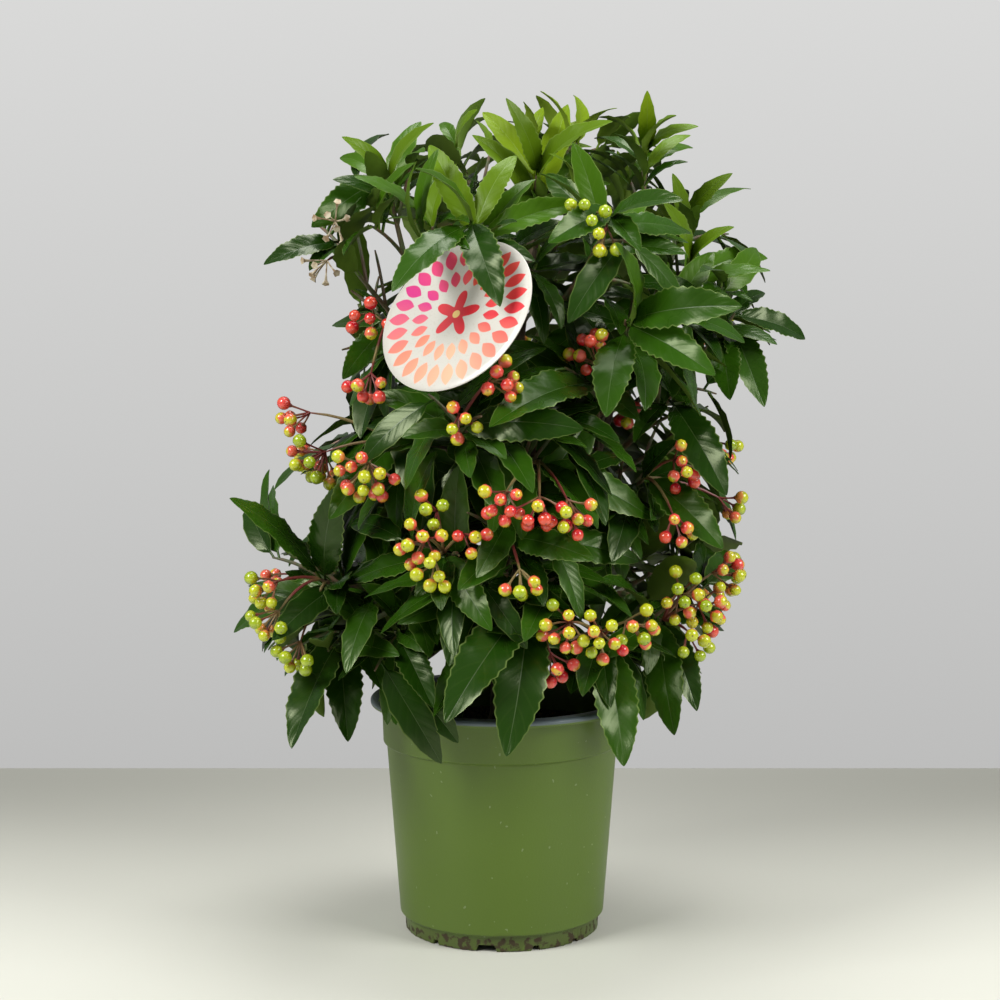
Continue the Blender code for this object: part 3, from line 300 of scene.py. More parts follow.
# Pot
POT_HEIGHT = 0.125
LIP_RADIUS = 0.070
LIP_THICKNESS = 0.0035
BAND_RADIUS = 0.06325
BAND_HEIGHT = 0.021
BODY_TOP_RADIUS = 0.0614
BODY_FOOT_RADIUS = 0.0545
FOOT_RADIUS = 0.0517
FOOT_WALL = 0.0022
FOOT_HEIGHT = 0.0085
BASE_RECESS = 0.006
BASE_THICKNESS = 0.002
PAD_RADIUS = 0.022
PAD_SLOPE = 0.002
FOOT_FLARE = 0.0003
FOOT_LEDGE = 0.0008
BAND_LEDGE = 0.001
BAND_FLARE = 0.0006
LIP_BEVEL = 0.001
WALL = 0.0016
# Drain notches in the foot ring: where round it in degrees, width and height
NOTCHES = ((261, 0.0100, 0.0035), (228, 0.0035, 0.0025), (290, 0.0040, 0.0025), (318, 0.0035, 0.0020),
           (12, 0.0100, 0.0035), (50, 0.0040, 0.0025), (95, 0.0035, 0.0020), (138, 0.0100, 0.0035),
           (185, 0.0040, 0.0025))

# Soil
SOIL_TOP = 0.108

# Tag: a round card that a loop holds on a twig
TAG_RADIUS = 0.0425
TAG_THICKNESS = 0.0008
TAG_CENTRE = Vector((-0.022, -0.092, 0.3305))
TAG_FACES = Vector((-0.52, -0.68, 0.54))
TAG_NECK_WIDTH = 0.007
TAG_NECK_OVERLAP = 0.003
TAG_NECK_THICKNESS = 0.9 * TAG_THICKNESS
TAG_NECK_TIP_WIDTH = 0.0028
TAG_LOOP_WIDTH = 0.004
TAG_LOOP_WALL = 0.0009
TAG_MASS = "top_front_left"
TAG_LOOP_ALONG = 0.85

# Stems
TRUNK_SIDES = 8
TRUNK_STEPS = 8
BOUGH_SIDES = 5
BOUGH_STEPS = 5
TWIG_SIDES = 3
FLARE_HEIGHT = 0.014
FLARE_WIDENING = 0.75
# How finely the place is sought where a stem comes clear of its limb, and how clear it has to be
START_STEPS = 800
START_MARGIN = 0.8 * CLEARANCE
# A mass's stem: how far its first and last control points stand off, how much its first one keeps to
# the limb's way, and how steeply its end rises, with fresh leaves more so
FIRST_REACH = 0.35
LAST_REACH = 0.30
LIMB_PULL = 0.2
STEM_RISE = 0.5
YOUNG_RISE = 0.9
STEM_RADII = (0.0017, 0.0010)
STEM_STEPS = 3
# Side twigs: where they leave, how far they open, and how they are drawn outwards and upwards
TWIG_RADII = (0.0011, 0.0008)
TWIG_LENGTH = 0.032
TWIG_START = 0.58
TWIG_OPENING = math.radians(62)
TWIG_OUTWARD = 0.5
TWIG_UPWARD = 0.2
TWIG_BOW = 0.125
TWIG_ATTEMPTS = 9
# Stalks of the bunches: where on the stem they may leave, and how much they bow
STALK_RADII = (0.0009, 0.0007)
STALK_PLACES = (0.45, 0.55, 0.65, 0.75, 0.85, 0.95)
STALK_BOWS = (0.12, 0.26, -0.06, 0.42)
PEDICEL_RADIUS = 0.0006

# Leaves
LEAF_LENGTH = 0.064
YOUNG_LEAF_LENGTH = 0.040
LEAF_WIDTH_SHARE = 0.33
YOUNG_WIDENING = -0.20
LEAF_THICKNESS = 0.0011
LEAF_SPACING = 0.0030
LEAF_ARCH = (0.12, 0.22)
YOUNG_ARCHING = 0.14
LEAF_ROLL = math.radians(22)
# How far the upper side leans from straight up: outwards, and for a leading leaf towards the front
FRONT = Vector((0, -1, 0))
LEAF_LEAN = 0.6
SEEN_LEAN = 1.1
# Where a blade's sections lie along it, and their share of the full width
LEADING_SECTIONS = ((0.40, 1.0), (0.74, 0.74))
PLAIN_SECTIONS = ((0.50, 1.08),)
FINE_LEAF_LENGTH = 0.045
TIP_LEAVES = 5
TWIG_LEAVES = 2
FEWEST_LEAVES = 2
TWIG_LEAF_SHARE = 0.85
# Where leaves sit, in spacings from the end: leading ones and the others; none sits lower than a share
LEADING_PLACE = 0.6
RULE_PLACE = 0.4
LOWEST_PLACE = 0.5
# The rule's leaves: how wide the lowest one opens, how much less the top one and fresh ones do, how they
# droop, how long they are, and how much their width varies
OPENING_WIDE = math.radians(96)
OPENING_FALL = math.radians(50)
OPENING_YOUNG = math.radians(12)
DROOP = 0.30
DROOP_YOUNG = 0.8
DROOP_FALL = 0.5
LENGTH_LOW = 1.05
LENGTH_FALL = 0.3
WIDTH_RANGE = (0.9, 1.05)
LEAF_ATTEMPTS = 7
ATTEMPT_TURN = 0.31
RULE_RISES = (0, 7, -7)
# Where a leading leaf may go when its own place is taken: nearer or farther, and higher, in mm
LEADING_SHIFTS = ((0, 0), (-8, 0), (8, 0), (0, 6), (0, -6), (-16, 0), (16, 0), (-10, 8), (-10, -8), (24, 0))
TEST_MARGIN = 0.5 * MM
TEST_START = 0.22
TEST_STEP = 0.1

# Berries
BERRY_RADIUS = 0.00375
UMBEL_SPREAD = 0.0046
UMBEL_HANG = 0.5
UMBEL_DEPTH = 0.6
UMBEL_SCATTER = 0.1
UMBEL_WAVES = 7
HUB_DISTANCE = 0.011
# Where a berry may go when its own place is taken, in mm
BERRY_SHIFTS = ((0, 0, 0), (0, -5, 0), (4, -4, 3), (-4, -4, -3), (0, -9, -4), (5, -8, 4), (-6, -6, 5), (0, -12, 3),
                (7, -5, -5), (-8, -8, -6), (0, 4, 7), (0, -14, -8))
BACK_RIPENESS = (0.35, 0.5)
# How many shapes the test for room can hold
SPACE_ROOM = 6000

# How far the crown reaches at each height: left, right
CROWN_REACH = ((0.100, 0.085, 0.075), (0.130, 0.118, 0.105), (0.165, 0.140, 0.125), (0.230, 0.138, 0.130),
               (0.270, 0.112, 0.130), (0.315, 0.082, 0.150), (0.350, 0.088, 0.146), (0.380, 0.100, 0.136),
               (0.405, 0.092, 0.118), (0.430, 0.074, 0.098), (0.452, 0.045, 0.072))
CROWN_DEPTH_SHARE = 0.95

# Openings that show light through the crown from the front: left, right, low and high in mm where the
# sight line from the eye point crosses the plane of the trunk
EYE_POINT = np.array((-0.001, -1.209, 0.364))
SIGHT_SHARES = (0.35, 0.5, 0.65, 0.8, 0.9, 1.0)
SIGHT_TAPER = 4
# How much of the width of a bunch and of the card stays free of the rule's leaves before it
BUNCH_VIEW = 0.8
TAG_VIEW = 0.7
OPENINGS = ((-122, -84, 276, 345), (-68, -53, 341, 378), (125, 160, 225, 278), (-115, -98, 212, 240),
            (-80, -70, 89, 138), (-63, -24, 429, 460), (-84, -64, 421, 460), (74, 96, 265, 282),
            (104, 128, 373, 385), (-140, -115, 190, 198), (14, 58, 103, 122), (-36, -26, 138, 146),
            (17, 23, 142, 149), (106, 117, 282, 300))

# %% The limbs and the masses of foliage
Limb = namedtuple("Limb", "name parent along points radii")
# Each limb leaves its parent at a share of the parent's length and runs by points in mm
LIMBS = (
    Limb("bough_centre", "trunk", 1.0, ((8, 0, 270), (8, 0, 320), (15, -8, 368)), (3.3, 1.8)),
    Limb("bough_right", "trunk", 0.62, ((40, 12, 205), (56, 4, 262), (66, -12, 322)), (2.9, 1.7)),
    Limb("bough_left", "trunk", 0.78, ((-22, 8, 232), (-42, 6, 280), (-46, -6, 334)), (2.9, 1.7)),
    Limb("bough_back", "trunk", 0.90, ((6, 40, 240), (6, 54, 300), (18, 52, 362)), (2.8, 1.6)),
    Limb("bough_front", "trunk", 0.97, ((4, -20, 232), (-4, -40, 250), (-8, -56, 258)), (2.4, 1.7)),
    Limb("bough_low_left", "trunk", 0.36, ((-20, -6, 166), (-48, -18, 172), (-68, -28, 186)), (2.7, 1.8)),
    Limb("bough_low_right", "trunk", 0.44, ((22, -4, 176), (44, -16, 176), (60, -28, 184)), (2.7, 1.8)),
    Limb("bough_low_front", "trunk", 0.52, ((0, -20, 182), (-2, -40, 192), (0, -56, 204)), (2.6, 1.8)),
    Limb("bough_low_back_left", "trunk", 0.40, ((-14, 26, 172), (-30, 46, 178), (-40, 62, 192)), (2.7, 1.8)),
    Limb("bough_low_back_right", "trunk", 0.48, ((16, 28, 180), (34, 44, 186), (46, 60, 200)), (2.7, 1.8)),
)
TRUNK_POINTS = ((0, 0, 108.3), (0, 0, 130), (-5, 4, 162), (8, 3, 196), (6, 2, 226))
TRUNK_RADII = (5.0, 3.7)

Mass = namedtuple("Mass", "name limb along end young seen umbels")
# Each mass leaves its limb at a share of the limb's length and its stem ends at a point in mm.
# young runs from 0, full-grown leaves, to 1, fresh ones. seen are the tips of its leading
# leaves, in mm from the stem's end. umbels are the middles of its bunches in mm and their berries.
MASSES = (
    Mass("top_centre", "bough_centre", 1.0, (18, -20, 401), 0.9,
         ((-16, -22, 36), (-28, 14, 31), (37, -30, 24), (26, 25, 28), (-16, -26, -16), (16, 21, 35), (-33, -15, 18)),
         ()),
    Mass("top_front_left", "bough_centre", 0.70, (-16, -80, 377), 0.7,
         ((15, -37, -42), (-36, -37, -35), (-25, -27, 23), (23, 26, 31), (-20, 22, 36), (55, 9, 7)), ()),
    Mass("top_right", "bough_right", 1.0, (75, 0, 416), 0.9,
         ((-1, -22, 26), (25, -23, 8), (13, -24, 13), (-26, 22, 4), (26, 20, -1)), ()),
    Mass("upper_right", "bough_right", 0.84, (98, 22, 380), 0.8, ((22, -22, 21), (36, 18, 14), (-9, -20, 21)), ()),
    Mass("front_upper_right", "bough_centre", 0.50, (54, -75, 382), 0.3,
         ((-32, -31, -17), (12, -27, -21), (32, -29, 3), (41, 30, -12), (-32, 30, 17), (-19, 15, 32)),
         ((41, -92, 378, 5), (50, -94, 364, 4))),
    Mass("right_front", "bough_right", 0.90, (61, -70, 327), 0.2,
         ((53, -43, 8), (41, -38, -25), (-42, 36, 4), (-7, -33, 38), (-11, -39, -45), (26, 36, -40)), ()),
    Mass("right_upper", "bough_right", 0.76, (98, -6, 350), 0.7,
         ((-16, -29, 35), (20, -25, 23), (43, 25, 7), (38, -31, 1)), ()),
    Mass("right_outer", "bough_right", 0.62, (120, -20, 329), 0.3,
         ((39, 19, -14), (12, -33, -46), (18, 24, 10), (19, -25, -15), (-6, -33, -42)), ()),
    Mass("left_outer", "bough_left", 0.80, (-85, -10, 367), 0.2, ((-36, -24, -13), (-13, -22, -16)), ()),
    Mass("left_upper", "bough_left", 1.0, (-60, 5, 402), 0.6,
         ((-37, -34, -29), (-22, -22, 17), (-26, 20, 8), (25, -23, 24), (17, 21, 27), (-26, -24, -5)), ()),
    Mass("left_front_upper", "bough_left", 0.90, (-35, -50, 373), 0.5, ((-37, -27, 24),), ()),
    Mass("top_back_left", "bough_centre", 0.84, (-25, 40, 417), 0.8, ((12, -20, 18), (-8, 18, 13)), ()),
    Mass("left_mid", "bough_left", 0.66, (-60, -25, 326), 0.1,
         ((-29, 25, -4), (-20, -29, -29), (-14, -22, 16)), ((-68, -58, 327, 6), (-66, -74, 292, 6))),
    Mass("centre_high", "bough_front", 1.0, (-23, -85, 276), 0.0,
         ((62, -23, 0), (-25, -24, -4), (25, -26, -14), (8, -26, -23)), ((1, -107, 300, 7), (-19, -107, 279, 5))),
    Mass("left_mid_low", "bough_left", 0.42, (-55, -50, 266), 0.0,
         ((23, -27, -20), (-30, -37, -36), (-21, 26, -17)),
         ((-108, -42, 276, 6), (-98, -50, 253, 12), (-68, -90, 250, 14))),
    Mass("centre_dark", "bough_right", 0.52, (48, -60, 296), 0.0,
         ((-54, -44, -18), (29, 30, 25), (19, -27, -17)), ((44, -66, 311, 9),)),
    Mass("centre_mid", "bough_front", 0.80, (19, -72, 258), 0.0, ((27, -37, -30), (57, 12, -31)),
         ((-1, -117, 239, 8), (18, -119, 236, 8), (34, -113, 234, 7), (12, -118, 223, 4))),
    Mass("left_low", "bough_low_left", 1.0, (-94, -45, 195), 0.0,
         ((-40, -39, 45), (12, -34, 50), (29, -36, -30), (-46, 22, -32), (-21, -26, -28)),
         ((-122, -58, 188, 7), (-118, -62, 171, 7), (-104, -66, 155, 6))),
    Mass("left_low_hang", "bough_low_left", 0.72, (-86, -26, 164), 0.0,
         ((8, -39, -50), (-19, -39, -50), (-30, 28, -29), (25, -30, -25)), ()),
    Mass("low_left_front", "bough_low_left", 0.50, (-54, -64, 170), 0.0,
         ((20, -33, -32), (18, -24, -6), (-15, -27, 28)), ()),
    Mass("centre_front", "bough_low_front", 0.86, (-30, -86, 214), 0.0,
         ((25, -33, -34), (1, -26, -24), (-50, 38, -22), (-12, -22, -19)),
         ((-34, -107, 239, 4), (-41, -112, 220, 8), (-34, -114, 205, 5), (-13, -112, 222, 4))),
    Mass("low_front", "bough_low_front", 0.62, (14, -84, 188), 0.0,
         ((-41, -50, -50), (-12, -50, -66), (-48, 2, -58), (23, 30, -30)), ((26, -104, 156, 5),)),
    Mass("low_right_front", "bough_low_right", 0.62, (50, -80, 170), 0.0,
         ((3, -26, -30), (9, -36, -57), (-11, -26, -23), (22, 26, 18)),
         ((28, -116, 179, 8), (47, -114, 173, 9), (68, -98, 177, 7))),
    Mass("low_right", "bough_low_right", 1.0, (84, -42, 172), 0.0,
         ((14, -29, -41), (2, -32, -51), (-11, -26, -23), (33, 30, -10)),
         ((92, -74, 190, 9), (118, -50, 199, 8), (107, -64, 180, 9), (98, -68, 163, 5))),
    Mass("right_mid", "bough_right", 0.42, (86, -40, 287), 0.0, ((25, -39, -46), (-20, -26, -21), (14, 22, -20)),
         ((64, -24, 275, 4),)),
    Mass("right_low_mid", "bough_right", 0.30, (74, -45, 248), 0.0,
         ((35, -38, -33), (13, -22, 19), (38, 24, -18), (-24, -30, -22)),
         ((94, -64, 254, 9), (88, -78, 222, 5), (119, -38, 228, 4))),
    Mass("centre_low", "bough_low_front", 1.0, (3, -83, 222), 0.0,
         ((41, -33, -8), (66, 20, -16), (-24, -30, -22), (17, -31, -31)), ((10, -116, 200, 5),)),
    Mass("top_back", "bough_back", 1.0, (32, 60, 416), 0.9, (), ()),
    Mass("back_upper_left", "bough_back", 0.78, (-34, 74, 382), 0.6, (), ()),
    Mass("back_upper_right", "bough_back", 0.84, (66, 70, 378), 0.6, (), ()),
    Mass("back_middle", "bough_back", 0.56, (6, 96, 322), 0.1, (), ((6, 118, 306, 8),)),
    Mass("back_left_high", "bough_left", 0.56, (-78, 44, 332), 0.2, (), ()),
    Mass("left_middle_back", "bough_left", 0.30, (-82, 42, 262), 0.0, (), ((-104, 44, 244, 8),)),
    Mass("back_right_high", "bough_right", 0.70, (100, 52, 334), 0.2, (), ((118, 62, 318, 7),)),
    Mass("right_middle_back", "bough_right", 0.36, (98, 26, 268), 0.0, (), ((118, 20, 250, 9),)),
    Mass("back_low_left", "bough_low_back_left", 1.0, (-62, 88, 204), 0.0, (), ((-72, 108, 190, 9),)),
    Mass("left_low_back", "bough_low_back_left", 0.55, (-100, 32, 190), 0.0, (), ((-122, 30, 178, 8),)),
    Mass("back_low_right", "bough_low_back_right", 1.0, (64, 88, 206), 0.0, (), ((76, 106, 190, 9),)),
    Mass("right_low_back", "bough_low_back_right", 0.55, (104, 30, 196), 0.0, (), ((122, 36, 180, 8),)),
    Mass("back_low", "bough_low_back_left", 0.70, (2, 100, 178), 0.0, (), ((4, 118, 162, 8),)),
    Mass("back_middle_left", "bough_back", 0.22, (-50, 86, 262), 0.0, (), ((-60, 108, 250, 9),)),
    Mass("back_middle_right", "bough_back", 0.32, (52, 88, 266), 0.0, (), ((62, 108, 252, 9),)),
)

# The front's bunches and the far edge of the card as the eye point sees them: the way and the distance
# to each, and how far round it the view stays free
FRONT_BUNCHES = np.array([umbel for mass in MASSES for umbel in mass.umbels if umbel[1] < 0])
TAG_FAR = TAG_CENTRE + Vector((0, TAG_RADIUS, 0))
VIEWS = np.vstack((FRONT_BUNCHES[:, :3] * MM, TAG_FAR)) - EYE_POINT
VIEW_DISTANCES = np.linalg.norm(VIEWS, axis=1)
VIEW_WAYS = VIEWS / VIEW_DISTANCES[:, None]
VIEW_REACHES = np.append(BUNCH_VIEW * UMBEL_SPREAD * np.sqrt(FRONT_BUNCHES[:, 3]), TAG_VIEW * TAG_RADIUS)

# %% [markdown]
# ## Stems
#
# A stem could be drawn as a curve object with a bevel. Here it is a Bezier curve cut
# into straight stretches, because the rule has to ask where a stem runs, and whether a
# new one would cut through it, before anything is drawn.

# %% Curves and tapering stems
def mm(point):
    """A point given in millimetres, in metres."""
    return Vector(point) * MM


def bezier(controls, share):
    """The point of a Bezier curve at a share of its parameter, by De Casteljau's rule."""
    points = [Vector(point) for point in controls]
    while len(points) > 1:
        points = [a.lerp(b, share) for a, b in zip(points, points[1:])]
    return points[0]


def bezier_tangent(controls, share):
    """The unit direction of a Bezier curve."""
    steps = [Vector(b) - Vector(a) for a, b in zip(controls, controls[1:])]
    return bezier(steps, share).normalized()


def side_of(direction):
    """A unit vector square to a direction, the same one each time."""
    other = UP if abs(direction.z) < 0.9 else Vector((1, 0, 0))
    return direction.cross(other).normalized()


def sections_of(point_sets):
    """Faces of a closed tube from its cross-sections, each a list of as many corners."""
    sides = len(point_sets[0])
    points = [point for section in point_sets for point in section]
    faces = [tuple(reversed(range(sides)))]
    for step in range(len(point_sets) - 1):
        for corner in range(sides):
            here = step * sides + corner
            beside = step * sides + (corner + 1) % sides
            faces.append((here, beside, beside + sides, here + sides))
    faces.append(tuple(range(len(points) - sides, len(points))))
    return points, faces


class Stem:
    """A tapering stem along a Bezier curve, cut into straight stretches."""

    def __init__(self, controls, radii, sides, steps, start=0.0, flare=0.0):
        self.controls = tuple(Vector(point) for point in controls)
        self.radii = radii
        self.sides = sides
        self.steps = steps
        self.start = start
        self.flare = flare
        self.nodes = [bezier(self.controls, self.share_of(step)) for step in range(steps + 1)]
        self.length = sum((b - a).length for a, b in zip(self.nodes, self.nodes[1:]))

    def share_of(self, step):
        """The curve's parameter at a node."""
        return self.start + (1 - self.start) * step / self.steps

    def at(self, share):
        """The point of the straight stretches at a share of their length."""
        left = min(max(share, 0), 1) * self.length
        for a, b in zip(self.nodes, self.nodes[1:]):
            stretch = (b - a).length
            if left <= stretch:
                return a.lerp(b, left / stretch)
            left -= stretch
        return self.nodes[-1].copy()

    def way(self, share):
        """The unit direction of the stretch at a share of the length."""
        left = min(max(share, 0), 1) * self.length
        for a, b in zip(self.nodes, self.nodes[1:]):
            stretch = (b - a).length
            if left <= stretch:
                return (b - a).normalized()
            left -= stretch
        return (self.nodes[-1] - self.nodes[-2]).normalized()

    def ring(self, centre, tangent, radius):
        """The corners of a cross-section, with a corner turned to the same side all along."""
        mean = (self.controls[-1] - self.controls[0]).normalized()
        across = side_of(mean)
        across = (across - tangent * across.dot(tangent)).normalized()
        over = tangent.cross(across)
        angles = [math.tau * corner / self.sides for corner in range(self.sides)]
        return [centre + across * radius * math.cos(angle) + over * radius * math.sin(angle) for angle in angles]

    def shape(self, grow=0.0, skip=0):
        """The closed tube, grown by a margin, without its first stretches."""
        rings = []
        for step in range(skip, self.steps + 1):
            share = self.share_of(step)
            radius = self.radii[0] + (self.radii[1] - self.radii[0]) * share + grow
            if self.flare:
                height = (self.nodes[step] - self.nodes[0]).length
                radius *= 1 + self.flare * math.exp(-height / FLARE_HEIGHT)
            rings.append(self.ring(self.nodes[step], bezier_tangent(self.controls, share), radius))
        return sections_of(rings)


# %% Keeping clear of what is already there
def tree_of(shape):
    """A search tree of a shape's faces."""
    points, faces = shape
    return BVHTree.FromPolygons([tuple(point) for point in points], faces)


def signed_distance(tree, point):
    """How far a point lies outside a closed surface, below 0 inside it."""
    nearest, normal, _, distance = tree.find_nearest(point)
    return distance if (point - nearest).dot(normal) > 0 else -distance


def clear_stem(controls, radii, sides, steps, parent_tree):
    """A stem that starts where its whole cross-section has just come clear of the limb that it leaves."""
    bare = Stem(controls, radii, sides, 1)
    for step in range(1, START_STEPS // 2):
        share = step / START_STEPS
        ring = bare.ring(bezier(controls, share), bezier_tangent(controls, share), radii[0])
        if min(signed_distance(parent_tree, point) for point in ring) < CLEARANCE:
            continue
        stem = Stem(controls, radii, sides, steps, share)
        if not tree_of(stem.shape(START_MARGIN)).overlap(parent_tree):
            return stem
    raise ValueError("a stem never leaves its limb")


class Space:
    """The shapes placed so far, and the test that a new one stays clear of them."""

    def __init__(self):
        self.trees = []
        self.owners = []
        self.lows = np.zeros((SPACE_ROOM, 3))
        self.highs = np.zeros((SPACE_ROOM, 3))

    def add(self, owner, shape):
        """Notes a shape that belongs to a node."""
        cloud = np.array([tuple(point) for point in shape[0]])
        self.lows[len(self.trees)] = cloud.min(axis=0)
        self.highs[len(self.trees)] = cloud.max(axis=0)
        self.trees.append(tree_of(shape))
        self.owners.append(owner)

    def is_clear(self, owner, whole, outer):
        """Whether a whole shape misses other nodes' shapes, and its outer part misses its own node's."""
        cloud = np.array([tuple(point) for point in whole[0]])
        placed = len(self.trees)
        near = (self.lows[:placed] <= cloud.max(axis=0)).all(axis=1)
        near &= (self.highs[:placed] >= cloud.min(axis=0)).all(axis=1)
        whole_tree = tree_of(whole)
        outer_tree = tree_of(outer)
        for index in np.flatnonzero(near):
            tried = outer_tree if self.owners[index] == owner else whole_tree
            if tried.overlap(self.trees[index]):
                return False
        return True


def crown_reach(point):
    """How far from the axis the crown may reach in a point's direction, at its height."""
    heights = [row[0] for row in CROWN_REACH]
    left = np.interp(point.z, heights, [row[1] for row in CROWN_REACH])
    right = np.interp(point.z, heights, [row[2] for row in CROWN_REACH])
    depth = CROWN_DEPTH_SHARE * (left + right) / 2
    side = right if point.x > 0 else left
    angle = math.atan2(point.y, point.x)
    return 1 / math.hypot(math.cos(angle) / side, math.sin(angle) / depth)


def inside_crown(point):
    """Whether a point lies inside the crown's outline."""
    lowest, highest = CROWN_REACH[0][0], CROWN_REACH[-1][0]
    return lowest < point.z < highest and math.hypot(point.x, point.y) < crown_reach(point)


# %% [markdown]
# ## Leaves and bunches of berries, as the rule sees them
#
# While it grows, a leaf is only a dart between its root and its tip, and a berry a
# coarse ball. That is enough to test for room, and quick. The real surfaces are worked
# out at the end, for all of them at once.

# %% Leaves, berries and bunches
class Leaf:
    """A leaf's root and tip, how high it arches, how far it rolls and where its upper side leans."""

    def __init__(self, root, tip, arch, roll, share, sections, facing):
        self.root = root
        self.tip = tip
        self.arch = arch
        self.roll = roll
        self.share = share
        self.sections = sections
        self.facing = facing

    def moved(self, shift):
        """The same leaf with its tip elsewhere."""
        return Leaf(self.root, self.tip + shift, self.arch, self.roll, self.share, self.sections, self.facing)

    def half_width(self):
        """Half the blade's greatest width."""
        return 0.5 * LEAF_WIDTH_SHARE * self.share * (self.tip - self.root).length

    def frame(self):
        """The midrib's control points and the direction of the blade's width."""
        chord = self.tip - self.root
        along = chord.normalized()
        lifted = UP + self.facing
        lifted = (lifted - along * lifted.dot(along)).normalized()
        lifted = Matrix.Rotation(self.roll, 3, along) @ lifted
        middle = self.root + chord * 0.5 + lifted * self.arch * chord.length
        return (self.root, middle, self.tip), along.cross(lifted)

    def shape(self, grow=0.0, start=0.0):
        """The blade as a closed dart of one or two sections between its root and its tip."""
        controls, across = self.frame()
        half_width = self.half_width() + grow
        thickness = LEAF_THICKNESS + 2 * grow
        points = [bezier(controls, start)]
        for place, width in self.sections:
            place = max(place, start + TEST_STEP)
            centre = bezier(controls, place)
            over = across.cross(bezier_tangent(controls, place))
            edge = half_width * width
            points += [centre + across * edge, centre - across * edge, centre - over * thickness]
        points.append(bezier(controls, 1) + bezier_tangent(controls, 1) * grow)
        return points, dart_faces(len(self.sections))

    def sights(self):
        """The ways from the eye point to points along its midrib and both edges."""
        controls, across = self.frame()
        points = []
        for share in SIGHT_SHARES:
            reach = self.half_width() * (1 - share ** SIGHT_TAPER)
            points += [tuple(bezier(controls, share) + across * side) for side in (-reach, 0, reach)]
        return np.array(points) - EYE_POINT

    def blocks_view(self):
        """Whether it would cover one of the crown's openings, or stand before a front bunch or the card."""
        sights = self.sights()
        crossings = (EYE_POINT - sights * (EYE_POINT[1] / sights[:, 1:2])) / MM
        for left, right, low, high in OPENINGS:
            covers = (left < crossings[:, 0]) & (crossings[:, 0] < right)
            if (covers & (low < crossings[:, 2]) & (crossings[:, 2] < high)).any():
                return True
        along = sights @ VIEW_WAYS.T
        aside = np.linalg.norm(sights[:, None] - along[..., None] * VIEW_WAYS, axis=-1)
        return bool(((along < VIEW_DISTANCES) & (aside < VIEW_REACHES)).any())


def dart_faces(sections):
    """Faces of a root point, rings of an edge, an edge and a keel, and a tip point, turned outwards."""
    faces = []
    tip = 1 + 3 * sections
    for corner in range(3):
        beside = (corner + 1) % 3
        faces.append((0, 1 + corner, 1 + beside))
        for section in range(sections - 1):
            low, high = 1 + 3 * section, 4 + 3 * section
            faces.append((low + corner, high + corner, high + beside))
            faces.append((low + corner, high + beside, low + beside))
        faces.append((tip - 3 + corner, tip, tip - 3 + beside))
    return faces


def ball_shape(centre, radius):
    """A berry: an icosahedron."""
    ball = bmesh.new()
    bmesh.ops.create_icosphere(ball, subdivisions=1, radius=radius)
    points = [centre + vertex.co for vertex in ball.verts]
    faces = [tuple(vertex.index for vertex in face.verts) for face in ball.faces]
    ball.free()
    return points, faces


def joined(*shapes):
    """Several shapes in one."""
    points, faces = [], []
    for shape_points, shape_faces in shapes:
        faces += [tuple(len(points) + index for index in face) for face in shape_faces]
        points += list(shape_points)
    return points, faces


class Umbel:
    """A bunch of berries: its stalk, its hub and its berries' middles, the outer ones first."""

    def __init__(self, root, middle, count, turn, bow):
        down = ((middle - root).normalized() - UP * UMBEL_HANG).normalized()
        self.hub = middle - down * HUB_DISTANCE
        bend = root.lerp(self.hub, 0.5) + UP * bow * (self.hub - root).length
        self.stalk = Stem((root, bend, self.hub), STALK_RADII, TWIG_SIDES, 2)
        across = side_of(down)
        over = down.cross(across)
        spread = UMBEL_SPREAD * math.sqrt(count)
        self.berries = []
        for index in reversed(range(count)):
            polar = (index + 0.5) / count
            angle = turn + GOLDEN_ANGLE * index
            wide = spread * math.sqrt(polar)
            deep = spread * (UMBEL_DEPTH * (0.5 - polar) + UMBEL_SCATTER * math.sin(UMBEL_WAVES * angle))
            self.berries.append(middle + across * wide * math.cos(angle) + over * wide * math.sin(angle)
                                + down * deep)


# %% The rule by which a mass grows
def stem_controls(limb, along, end, lean):
    """The path of a mass's stem from its limb's axis to its end, rising as it nears it."""
    root = limb.at(along)
    reach = (end - root).length
    tangent = limb.way(along)
    outward = (end - root).normalized()
    start_way = tangent if along >= 1 else (outward + tangent * LIMB_PULL).normalized()
    rising = (outward + UP * lean).normalized()
    return (root, root + start_way * FIRST_REACH * reach, end - rising * LAST_REACH * reach, end)


def rule_direction(axis, turn, opening):
    """A unit direction at an opening angle from an axis, turned round it."""
    across = side_of(axis)
    over = axis.cross(across)
    return (axis * math.cos(opening) + (across * math.cos(turn) + over * math.sin(turn)) * math.sin(opening))


